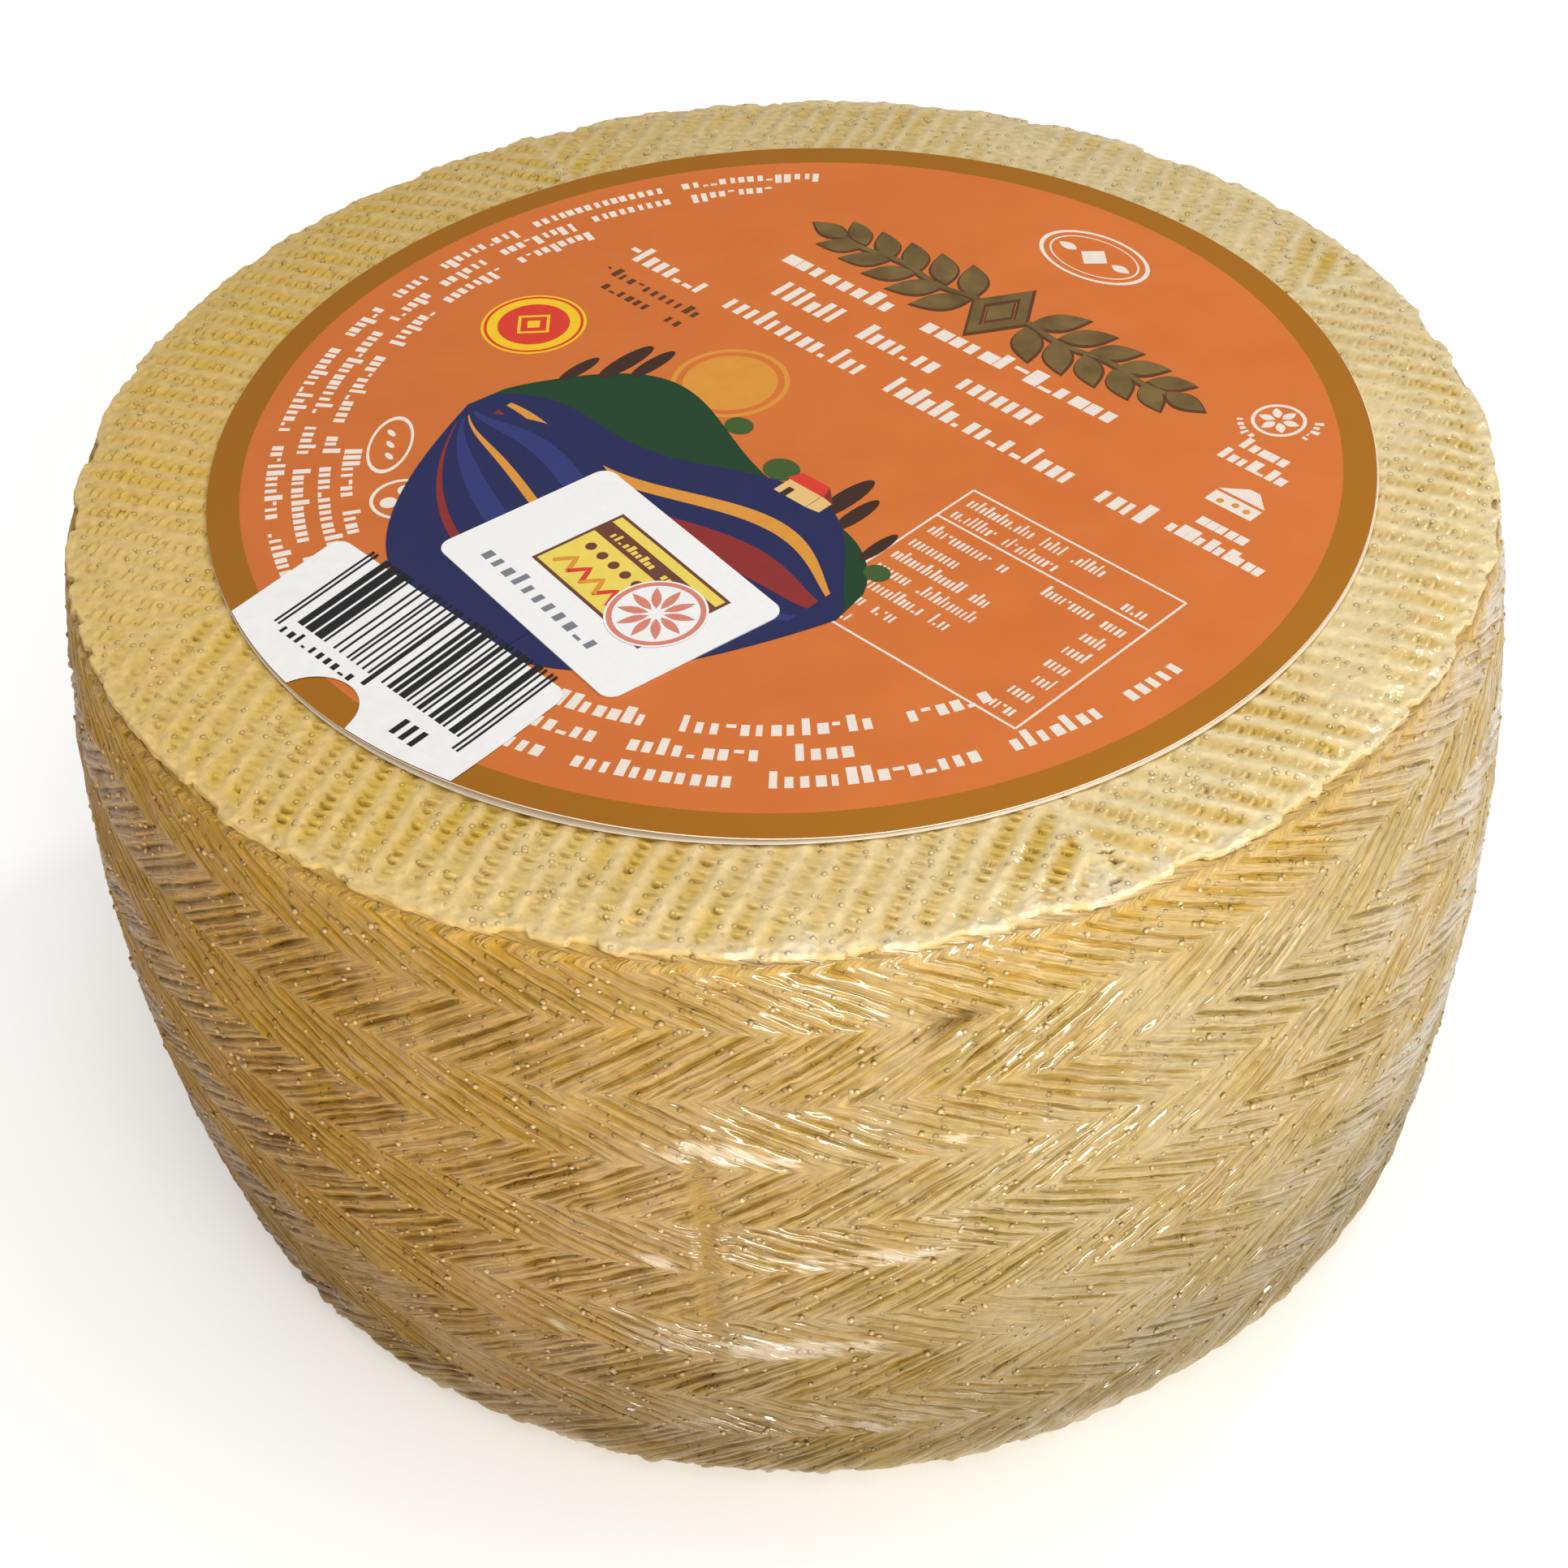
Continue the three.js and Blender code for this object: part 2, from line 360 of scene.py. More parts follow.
def rowEdges():
    # Heights of the rows' edges and how many strands the pattern has turned by there
    falling = np.arange(band["rows"] + 1) % 2 == 0
    drops = np.where(falling, band["fallingHeight"], band["risingHeight"])
    shifts = np.where(falling, band["fallingShift"], band["risingShift"])
    number = np.arange(band["rows"] + 2)
    sag = band["sag"] * np.exp(-((number - 3.3) / 1.6) ** 2)
    heights = band["top"] - np.concatenate([[0], np.cumsum(drops)]) - sag
    turns = np.concatenate([[0], np.cumsum(shifts)])
    return heights, turns


def rowPlace(row):
    # Height and turn at a place in the rows, with the end of the part row above the first one
    heights, turns = rowEdges()
    edges = np.arange(len(heights))
    height = np.interp(row, edges, heights)
    turn = np.interp(row, edges, turns)
    part = np.clip(1 - row / band["partRow"], 0, 1)
    firstTurn = np.interp(band["partRow"], edges, turns)
    turn = np.where(part > 0, firstTurn + band["partShift"] * part, turn)
    return height, turn


def grooveDepth(kind, seed, width, strand, index, t):
    # One groove for each strand: a bell across the strand, which narrows to both of its own ends
    draw = np.random.default_rng(seed)
    shape = (band["rows"] + 1, band["strands"])
    start = draw.uniform(-0.1, 0.04, shape)
    end = draw.uniform(0.96, 1.1, shape)
    wander = draw.uniform(-1, 1, shape) * kind["wander"]
    strength = draw.uniform(kind["weakest"], kind["strongest"], shape)
    line = np.floor(strand - kind["place"] + 0.5).astype(int)
    pick = (index, line % band["strands"])
    bow = 0.06 * np.sin(2 * math.pi * t) * (line % 3 - 1)
    across = strand - kind["place"] - line - wander[pick] - bow
    lens = ease(t, start[pick], start[pick] + 0.1) * (1 - ease(t, end[pick] - 0.1, end[pick]))
    narrowed = width * (0.7 + 0.3 * np.sin(math.pi * np.clip(t, 0, 1)))
    return np.maximum(strength[pick], 0) * lens * np.exp(-(across / narrowed) ** 2)


def strandRelief(strand, row, azimuth, height):
    # How far the side stands in from its outline, how much of that is groove and where the crests are
    index = np.clip(np.floor(row), 0, band["rows"]).astype(int)
    t = row - index
    rising = index % 2 == 1
    width, deep, rounding, second = (
        np.where(rising, band["risingGroove"][key], band["fallingGroove"][key])
        for key in ("width", "depth", "rounding", "second")
    )
    main = grooveDepth(band["main"], 21, width, strand, index, t)
    middle = second * grooveDepth(band["middle"], 22, 0.8 * width, strand, index, t)
    # Worn and broken places, the seam and the right flank are weaker
    worn = ease(uneven("wornPlaces", azimuth, height), 0.3, 0.85)
    strength = (0.9 + uneven("strandStrength", azimuth, height)) * (1 - 0.6 * worn)
    broken = uneven("longBreaks", azimuth, height) + uneven("shortBreaks", azimuth, height)
    strength = strength * np.clip(0.88 + 0.42 * broken, 0.25, 1.3)
    fromSeam, seam, seamShown = seamPlace(azimuth, height)
    strength = strength * (1 - seam) * (1 - 0.25 * ease(np.cos(turnFrom(azimuth, -10)), 0.3, 0.95))
    # The part row below the lip is worn away at the right of the front
    shown = ease(np.cos(turnFrom(azimuth, -155)), 0.1, 0.7)
    strength = strength * np.where(row < band["partRow"], 0.25 + 0.75 * shown, 1)
    inRow = ease(t, 0, 0.05) * (1 - ease(t, 0.95, 1))
    rounded = rounding * (0.5 - 0.5 * np.cos(2 * math.pi * strand)) * inRow
    cove = band["cove"] * (1 + uneven("coveDepth", azimuth, height)) * np.sin(math.pi * t) ** 0.8
    crease = np.exp(-(t / 0.04) ** 2) + np.exp(-((1 - t) / 0.04) ** 2)
    lumps = 0.1 * softNoise(26, strand * 2 + 0.5, row * 7, 2 * band["strands"])
    fibres = 0.13 * softNoise(34, strand * 5, row * 1.7, 5 * band["strands"]) * (1 - 0.7 * seam)
    rough = uneven("roughLarge", azimuth, height) + uneven("roughSmall", azimuth, height)
    broad = uneven("dents", azimuth, height) + uneven("dimples", azimuth, height)
    strands = strength * (rounded + deep * (main + middle))
    depth = strands
    depth = depth + cove + 0.2 * crease * (0.4 + uneven("creaseDepth", azimuth, height))
    depth = depth + lumps + fibres + rough + broad
    # The seam is a shallow upright groove between two low lips
    lips = seamShown * np.exp(-((np.abs(fromSeam) - 1.4 * band["seamWidth"]) / 0.5) ** 2)
    depth = depth + 0.3 * seam - 0.25 * lips
    crest = 1 - ease(strands + 0.6 * lumps + 0.9 * fibres + 0.5 * rough, -0.02, 0.3)
    return depth, np.clip(strength * (main + 0.85 * middle), 0, 1), crest * (1 - 0.7 * seam)


def faceRelief(x, y, seed):
    # Relief of a face, its dark hollows and its troughs. Four quarters of parallel troughs, with a smooth
    # strip where two quarters meet. In each trough lies a row of small scales that the board's holes left:
    # a scale rises slowly along the trough and drops at its rim end, with a crescent hollow before the drop
    azimuth = np.degrees(np.arctan2(y, x))
    turned = (azimuth - faceBoard["firstQuarter"] + 45) / 90
    quarter = np.floor(turned)
    direction = np.radians(faceBoard["firstQuarter"] + 90 * quarter)
    along = x * np.cos(direction) + y * np.sin(direction)
    across = y * np.cos(direction) - x * np.sin(direction)
    across = across + 0.35 * softNoise(seed + 3, x / 9 + 32, y / 9 + 32, 64)
    across = across + 0.16 * softNoise(seed + 5, x / 2.4 + 64, y / 2.4 + 64, 128)
    trough = np.floor(across / faceBoard["pitch"])
    fromTrough = across - faceBoard["pitch"] * (trough + 0.5)
    step = along / faceBoard["scalePitch"] + 0.37 * trough
    number = np.floor(step)
    table = np.random.default_rng(seed).uniform(-1, 1, (4, 64, 128))
    pick = (trough.astype(int) % 64, number.astype(int) % 128)
    v = (fromTrough - 0.16 * table[1][pick]) / (faceBoard["scaleWidth"] * (1 + 0.25 * table[2][pick]))
    u = (step - number - 0.5) * faceBoard["scalePitch"] - 0.12 * table[0][pick]
    u = u / faceBoard["scaleLength"] + 0.5 * v ** 2
    body = np.clip(1 - v ** 2, 0, 1)
    scale = ease(u, -1.3, 0.3) * (1 - ease(u, 0.35, 1.0)) * body ** 0.6
    crescent = np.exp(-((u - 1.05) / 0.36) ** 2) * body
    hollow = np.exp(-(np.abs(fromTrough) / faceBoard["troughHalfWidth"]) ** 3)
    radius = np.hypot(x, y)
    toSeam = np.minimum(turned - quarter, quarter + 1 - turned) * math.pi / 2 * radius
    worn = 0.9 - 0.22 * ease(x, -30, 50) + 0.5 * softNoise(seed + 1, x / 13 + 32, y / 13 + 32, 64)
    fade = np.clip(worn, 0.2, 1.15) * ease(toSeam, 0.2, 1.6) * (1 - ease(radius, 88.5, 91.0))
    strength = 0.66 + 0.5 * table[3][pick]
    lumps = 0.07 * softNoise(seed + 2, x / 4 + 64, y / 4 + 64, 128)
    lumps = lumps + 0.05 * softNoise(seed + 4, x / 1.6 + 96, y / 1.6 + 96, 192)
    raised = faceBoard["scaleHeight"] * scale - faceBoard["crescentDepth"] * crescent
    relief = fade * (strength * raised - faceBoard["troughDepth"] * hollow) + lumps - 0.07
    return relief, np.clip(fade * strength * crescent * 1.15, 0, 1), fade * hollow


def slitMarks(x, y):
    # Narrow cracks in the face: 1 on the line of a slit, falling off across and along it
    marks = np.zeros_like(x)
    for placeX, placeY, direction, length, width in slits:
        c = math.cos(math.radians(direction))
        s = math.sin(math.radians(direction))
        along = (x - placeX) * c + (y - placeY) * s
        across = (y - placeY) * c - (x - placeX) * s + 0.12 * np.sin(9 * along / length)
        marks = np.maximum(marks, np.exp(-(2 * along / length) ** 4 - (across / width) ** 2))
    return marks


def chalkMarks(x, y):
    # Soft round patches of chalky flakes near the lip, broken up by noise
    marks = np.zeros_like(x)
    for azimuth, distance, size in chalk:
        placeX = distance * math.cos(math.radians(azimuth))
        placeY = distance * math.sin(math.radians(azimuth))
        marks = np.maximum(marks, np.exp(-((x - placeX) ** 2 + (y - placeY) ** 2) / size ** 2))
    grain = 0.6 * softNoise(51, x / 1.5 + 96, y / 1.5 + 96, 192)
    grain = grain + 0.6 * softNoise(52, x / 0.6 + 192, y / 0.6 + 192, 384)
    return 0.66 * ease(marks * (1 + 0.9 * grain) + 0.3 * grain * (marks > 0.05), 0.45, 0.8)


def aroundLip(name, azimuth):
    # softNoise round the lip. Gives the amount separately, for places that count only above a threshold
    seed, count, amount = lip[name]
    return softNoise(seed, azimuth / (2 * math.pi) * count, 0.5, count), amount


def lipShape(azimuth):
    # Distance of the ragged lip from the axis: scallops of 8 mm, nicks of 2.5 mm, teeth of 1.2 mm, and
    # crumbled places that are broken off steeply
    scallops, nicks, teeth = (amount * noise for noise, amount in (
        aroundLip(name, azimuth) for name in ("scallops", "nicks", "teeth")))
    crumbled, crumbledDepth = aroundLip("crumbled", azimuth)
    return lip["radius"] + scallops + (nicks + teeth) - crumbledDepth * ease(crumbled, 0.2, 0.32)


def fibreMarks(angle, height):
    # A place for the fibres' pattern, in metres: round the wheel by the strand, so that a strand keeps its
    # own places, and slowly upwards, so that the pattern is drawn out along the strands
    reach = wheel["bellyRadius"]
    height = height + 0 * angle
    return {
        "fibreX": (reach * np.cos(angle) + 0 * height) * millimetre,
        "fibreY": (reach * np.sin(angle) + 0 * height) * millimetre,
        "fibreZ": height * millimetre,
    }


def upperFaceSection(azimuth):
    # Rings from under the label out to the lip, then round the lip and back in under it
    edge = lipShape(azimuth)
    shelf = edge - lip["round"]
    start = upperFace["shownFrom"]
    hidden = np.array(upperFace["hiddenRings"])[:, None] + 0 * azimuth
    steps = int((lip["radius"] - start) / faceBoard["ringStep"])
    share = np.linspace(0, 1, steps)[:, None]
    radius = np.concatenate([hidden, start + (shelf - start) * share])
    x = radius * np.cos(azimuth)
    y = radius * np.sin(azimuth)
    relief, hollow, trough = faceRelief(x, y, 61)
    relief = relief * ease(radius, 60, 72)
    slit = slitMarks(x, y)
    drop = lip["slope"] * ease(radius, 84, 91.5) ** 1.4
    height = wheel["faceHeight"] - upperFace["gap"] - drop + relief - 0.5 * slit
    # The face is crumbly at 1.3 and 0.7 mm, more so towards the lip
    crumbly = softNoise(46, x / 1.3 + 128, y / 1.3 + 128, 256)
    crumbly = crumbly + 0.7 * softNoise(47, x / 0.7 + 192, y / 0.7 + 192, 384)
    height = height + 0.2 * chalkMarks(x, y)
    height = height + crumbly * (0.035 + 0.06 * ease(radius, 84, 89) + 0.07 * ease(radius, 89.5, 91))
    # Round the lip by a quarter circle, then down a crumbly edge and in
    turn = np.radians(np.array([22, 45, 68, 90]))[:, None]
    top = height[-1]
    crumbs, fineCrumbs = (amount * noise for noise, amount in (
        aroundLip(name, azimuth) for name in ("crumbs", "fineCrumbs")))
    crumbs = crumbs + fineCrumbs
    quarterRadius = shelf + lip["round"] * np.sin(turn)
    quarterHeight = top - lip["round"] * (1 - np.cos(turn))
    lipRadius = np.concatenate([quarterRadius, [edge - 0.05 + crumbs * 0.4, edge - 0.45]])
    lipHeight = np.concatenate([quarterHeight, [top - 0.85 + crumbs, top - 1.15 + crumbs]])
    lipHeight[-1] = np.maximum(lipHeight[-1], lip["underHeight"] + 0.15)
    radius = np.concatenate([radius, lipRadius])
    height = np.concatenate([height, lipHeight])
    points = np.stack([radius * np.cos(azimuth), radius * np.sin(azimuth), height], -1)
    extra = np.zeros((len(radius) - len(hollow), len(azimuth)))
    x = points[..., 0]
    y = points[..., 1]
    # The lip's rounding and underside take the amber mark, which lays the side's darker gold on the face:
    # painted shade on the lip, with the skin's golden colour
    under = np.zeros(len(radius))
    under[-6:] = (0.3, 0.5, 0.7, 0.8, 0.9, 1)
    marks = {
        "hollow": np.concatenate([np.maximum(hollow, slit), extra]),
        "crest": np.zeros_like(x),
        "chalk": chalkMarks(x, y),
        "amber": under[:, None] + 0 * x,
        "stain": np.concatenate([slit, extra]),
        "face": np.ones_like(x),
        "trough": np.concatenate([trough, extra]),
        **fibreMarks(azimuth, 0.01 * radius),
    }
    return points, marks


def sideFlakes(strand, row, azimuth, height, crest):
    # Flakes of the dry skin at the lower ends of the falling strands, as wide as one or two strands
    t = row - np.floor(row)
    inFront = dryness("side", azimuth)
    tips = np.exp(-((t - 0.82) / 0.2) ** 2) * (np.floor(row) % 2 == 0)
    flakes = softNoise(73, strand / 2, 3 * np.floor(row) + 1.6 * t, band["strands"] // 2)
    flakes = flakes + uneven("flakeEdge", azimuth, height) + uneven("flakeTeeth", azimuth, height)
    flakes = flakes * (0.3 + 0.8 * tips) * (0.3 + 0.85 * inFront) * (1 - ease(height, 74, 80))
    flakes = 0.8 * ease(flakes, 0.44, 0.49)
    # Whitish patches of 9 mm on the crests of two of the lower rows, cut by upright hair lines 1.2 mm apart:
    # painted sheen of the oil coat, together with worn skin
    worn = ease(uneven("sheenAndWearPatches", azimuth, height + 40), -0.1, 0.15) * ease(inFront, 0.5, 0.8)
    worn = worn * ease(t, 0.12, 0.2) * (1 - ease(t, 0.8, 0.9)) * np.isin(np.floor(row), (6, 8))
    hairs = softNoise(80, azimuth / (2 * math.pi) * 480, height / 12, 480)
    return np.maximum(flakes, 0.5 * worn * crest * ease(np.abs(hairs), 0.1, 0.3))


def smudgeMarks(azimuth, height):
    # A slanting bell, uneven at 1.2 mm
    x = turnFrom(azimuth, smudge["azimuth"]) * wheel["bellyRadius"]
    z = height - smudge["height"]
    along = x * smudge["run"] + z * smudge["rise"]
    across = z * smudge["run"] - x * smudge["rise"]
    bell = np.exp(-(along / smudge["halfLength"]) ** 2 - (across / smudge["halfWidth"]) ** 2)
    return np.clip(1.9 * bell * (0.75 + uneven("smudgeGrain", azimuth, height)), 0, 0.85)


def sideSection(strand):
    # Rows of slanting strands from the lip down, hollow rows with raised edges
    count = int(band["uprightRows"] * band["stepsPerRow"]) + 1
    row = np.arange(count)[:, None] / band["stepsPerRow"] + 0 * strand
    height, turn = rowPlace(row)
    azimuth = 2 * math.pi / band["strands"] * (strand + turn)
    inner = ease(row, 0, 0.8) * (1 - ease(row, band["uprightRows"] - 0.8, band["uprightRows"]))
    height = height + inner * uneven("rowWaver", azimuth, height)
    height = height - (band["top"] - lip["underHeight"]) * (1 - ease(row, 0, 0.6))
    depth, groove, crest = strandRelief(strand, row, azimuth, height)
    tucked = 1 - ease(row, 0, 0.06)
    tuck = lip["tuck"] * (1 - ease(row, 0, 0.16))
    radius = sideRadius(height, azimuth) - depth * (1 - 0.3 * tucked) - tuck
    x = sideShift(height) + radius * np.cos(azimuth)
    points = np.stack([x, radius * np.sin(azimuth), height], -1)
    seam = seamPlace(azimuth, height)[1]
    # The skin is amber below the lip and in the seam
    amber = (1 - ease(row, 0.2, 1.6)) * (0.75 + uneven("amberPatches", azimuth, height))
    amber = amber + 0.5 * (1 - ease(row, 0.1, 0.4)) + 0.4 * seam
    marks = {
        "hollow": np.maximum(groove * (1 - tucked), 0.35 * seam),
        "crest": crest,
        "chalk": sideFlakes(strand, row, azimuth, height, crest) * ease(row, 0.3, 0.9),
        "amber": np.clip(amber, 0, 1),
        "stain": smudgeMarks(azimuth, height),
        "face": np.zeros_like(x),
        "trough": np.zeros_like(x),
        **fibreMarks(2 * math.pi * strand / band["strands"], band["fibreStretch"] * row),
    }
    return points, marks


def footSection(strand):
    # The end of the last row turns under to the lower face as a flattened quarter ellipse
    top, topTurn = rowPlace(band["uprightRows"])
    angle = np.linspace(0, math.pi / 2, 15)[1:, None] + 0 * strand
    share = np.sin(angle)
    row = band["uprightRows"] + 0.33 * share
    turn = topTurn + band["risingShift"] * share * (1 - 0.35 * share)
    azimuth = 2 * math.pi / band["strands"] * (strand + turn)
    height = top * (1 - share)
    depth, groove, crest = strandRelief(strand, row, azimuth, top + 0 * height)
    keep = np.cos(angle) ** lowerFace["turnIn"]
    ragged = uneven("footLumps", azimuth, height) + uneven("footCrumbs", azimuth, height)
    ragged = ragged - 0.5 * ease(uneven("footBreaks", azimuth, height), 0.25, 0.4)
    outwards = (sideRadius(top, azimuth) - lowerFace["edge"]) * keep
    outwards = outwards - depth * (1 - ease(share, 0.75, 1)) + ragged * keep * share
    radius = lowerFace["edge"] + outwards
    shift = sideShift(top) + (wheel["footShift"] - sideShift(top)) * share
    x = shift + radius * np.cos(azimuth)
    points = np.stack([x, radius * np.sin(azimuth), np.maximum(height, 0)], -1)
    # Dry grey-white flakes, most of them at the front right
    flakes = uneven("footFlakes", azimuth, height) + uneven("footFlakeEdge", azimuth, height) + 0.5 * share
    flakes = 0.7 * ease(flakes * (0.45 + 0.55 * dryness("foot", azimuth)), 0.5, 0.65)
    marks = {
        "hollow": groove,
        "crest": crest * (1 - share),
        "chalk": flakes,
        "amber": np.zeros_like(x),
        "stain": np.zeros_like(x),
        "face": share,
        "trough": np.zeros_like(x),
        **fibreMarks(2 * math.pi * strand / band["strands"], band["fibreStretch"] * row),
    }
    return points, marks, azimuth[-1]


def lowerFaceSection(azimuth):
    # Rings of the lower face from the foot inwards, where the middle disc takes over
    radius = np.linspace(lowerFace["edge"] - 0.4, lowerFace["innerRing"], 26)[:, None] + 0 * azimuth
    x = radius * np.cos(azimuth)
    y = radius * np.sin(azimuth)
    relief, hollow, trough = faceRelief(x, y, 91)
    height = np.maximum(0, -relief * ease(lowerFace["edge"] - radius, 0, 2))
    points = np.stack([x + wheel["footShift"], y, height], -1)
    none = np.zeros_like(x)
    marks = {
        "hollow": hollow,
        "crest": none,
        "chalk": none,
        "amber": none,
        "stain": none,
        "face": none + 1,
        "trough": trough,
        **fibreMarks(azimuth, 0.01 * radius),
    }
    return points, marks


def surfaceNormals(points):
    # Cross product of the steps down the rows and round the columns
    down = np.gradient(points, axis=0)
    right = np.roll(points, -1, axis=1) - np.roll(points, 1, axis=1)
    normal = np.cross(down, right)
    return normal / np.maximum(np.linalg.norm(normal, axis=-1, keepdims=True), 1e-9)


def innerRing(ring, normals, depth=4.0):
    # A ring moved into the cheese along the mean normal of its cross-section
    outward = ring[:, :2] / np.linalg.norm(ring[:, :2], axis=1, keepdims=True)
    radial = (normals[:, :2] * outward).sum(axis=1).mean()
    upward = normals[:, 2].mean()
    moved = ring.copy()
    moved[:, :2] -= depth * radial * outward
    moved[:, 2] -= depth * upward
    return moved


def rindPiece(name, points, normals, marks, inner, poles):
    # A closed piece of rind: some rows of the whole surface, closed inside by the inner ring or rings, or
    # by a pole, the middle point of a face. The surface's own normals hide the joints between the pieces
    rows, columns = points.shape[:2]
    rings = np.concatenate([points, inner]) if len(inner) else points
    quads = gridQuads(len(rings), columns, not poles, True)
    triangles = None
    flat = rings.reshape(-1, 3)
    if poles:
        triangles = poleTriangles(columns, len(rings))
        flat = np.concatenate([flat, np.array(poles)])
    mesh = newMesh(name, flat, quads, triangles)
    shown = rows * columns
    for key, values in marks.items():
        padded = np.zeros(len(flat))
        padded[:shown] = values.ravel()
        setAttribute(mesh, key, padded)
    corner = np.empty(len(mesh.loops), np.int32)
    mesh.loops.foreach_get("vertex_index", corner)
    visible = np.zeros(len(mesh.polygons), bool)
    visible[:(rows - 1) * columns] = True
    sizes = np.full(len(mesh.polygons), 4)
    sizes[len(quads):] = 3
    visible = np.repeat(visible, sizes)
    cornerNormals = np.zeros((len(corner), 3))
    cornerNormals[visible] = normals.reshape(-1, 3)[corner[visible]]
    sharpenRings(mesh, columns, (0, rows - 1))
    mesh.normals_split_custom_set(cornerNormals)
    return mesh


def buildRind(material):
    # The whole surface from the upper face to the lower one, cut into rings of rows, each under the limit of
    # triangles for a piece
    columns = band["strands"] * band["columnsPerStrand"]
    strand = np.arange(columns) / band["columnsPerStrand"]
    upper, upperMarks = upperFaceSection(2 * math.pi * strand / band["strands"])
    side, sideMarks = sideSection(strand)
    foot, footMarks, footAzimuth = footSection(strand)
    lower, lowerMarks = lowerFaceSection(footAzimuth)
    sections = [upper, side, foot, lower]
    points = np.concatenate(sections)
    marks = {}
    for key in upperMarks:
        parts = [upperMarks[key], sideMarks[key], footMarks[key], lowerMarks[key]]
        marks[key] = np.concatenate(parts)
    normals = surfaceNormals(points)
    rowsPerPiece = 52
    fewestRows = 8
    start = 0
    number = 1
    while start < len(points) - 1:
        end = min(start + rowsPerPiece, len(points) - 1)
        if len(points) - 1 - end < fewestRows:
            end = len(points) - 1
        part = slice(start, end + 1)
        inner = np.stack([innerRing(points[end], normals[end]), innerRing(points[start], normals[start])])
        poles = None
        if start == 0:
            inner = inner[:1]
            poles = [(0, 0, wheel["faceHeight"] - 0.1), (0, 0, inner[0][:, 2].mean())]
        kept = {key: values[part] for key, values in marks.items()}
        mesh = rindPiece("rind" + str(number), points[part], normals[part], kept, inner, poles)
        addPiece("rind" + str(number), mesh, "rind", [material], "cheese_wheel")
        print("rind piece", number, "faces", len(mesh.polygons))
        start = end
        number += 1
    return points, normals, marks, len(upper), len(side)


pimples = {"onSide": 4200, "onTop": 200, "smallest": 0.22, "largest": 0.52}


def buildPimples(material, points, normals, marks, upperRows, sideRows):
    # Small blisters of the rind: closed domes of 24 triangles on random places of the side, and some on top
    draw = np.random.default_rng(5)
    onSide = draw.integers(upperRows + 4, upperRows + sideRows, pimples["onSide"])
    onTop = draw.integers(20, upperRows - 14, pimples["onTop"])
    row = np.concatenate([onSide, onTop])
    count = len(row)
    column = draw.integers(0, points.shape[1], count)
    place = points[row, column]
    normal = normals[row, column]
    size = pimples["smallest"] + (pimples["largest"] - pimples["smallest"]) * draw.random(count) ** 1.6
    height = size * draw.uniform(0.5, 0.75, count)
    sideways = np.cross(normal, (0.3, 0.2, 1))
    sideways = sideways / np.linalg.norm(sideways, axis=1, keepdims=True)
    other = np.cross(normal, sideways)
    around = 6
    angle = 2 * math.pi * np.arange(around) / around
    cosine = np.cos(angle)[None, :, None]
    sine = np.sin(angle)[None, :, None]
    circle = cosine * sideways[:, None] + sine * other[:, None]
    size = size[:, None, None]
    up = normal[:, None] * height[:, None, None]
    apex = place[:, None] + up
    shoulder = place[:, None] + 0.62 * size * circle + 0.74 * up
    foot = place[:, None] + size * circle - 0.15 * up
    root = place[:, None] - 0.5 * up
    vertices = np.concatenate([apex, shoulder, foot, root], axis=1)
    perPimple = vertices.shape[1]
    i = np.arange(around)
    j = (i + 1) % around
    cap = np.stack([np.zeros(around, int), 1 + i, 1 + j], -1)
    base = np.stack([1 + around + i, np.full(around, perPimple - 1), 1 + around + j], -1)
    wall = np.stack([1 + i, 1 + around + i, 1 + around + j, 1 + j], -1)
    offset = (np.arange(count) * perPimple)[:, None, None]
    quads = (wall[None] + offset).reshape(-1, 4)
    triangles = (np.concatenate([cap, base])[None] + offset).reshape(-1, 3)
    mesh = newMesh("rindPimples", vertices.reshape(-1, 3), quads, triangles)
    # Each is painted with a highlight on its apex in the crest and flake colours, a yellow shoulder, and
    # painted shade at its foot in the groove colour
    ownMarks = {"hollow": (0, 0, 0.4), "chalk": (0.55, 0.3, 0), "amber": (0.5, 0.4, 0), "crest": (1, 0.6, 0)}
    for key, values in marks.items():
        value = np.repeat(values[row, column], perPimple)
        if key in ownMarks:
            onApex, onShoulder, onFoot = ownMarks[key]
            value = np.tile([onApex] + around * [onShoulder] + (around + 1) * [onFoot], count)
        setAttribute(mesh, key, value)
    addPiece("rindPimples", mesh, "rind", [material], "cheese_wheel")
    print("pimples", count)


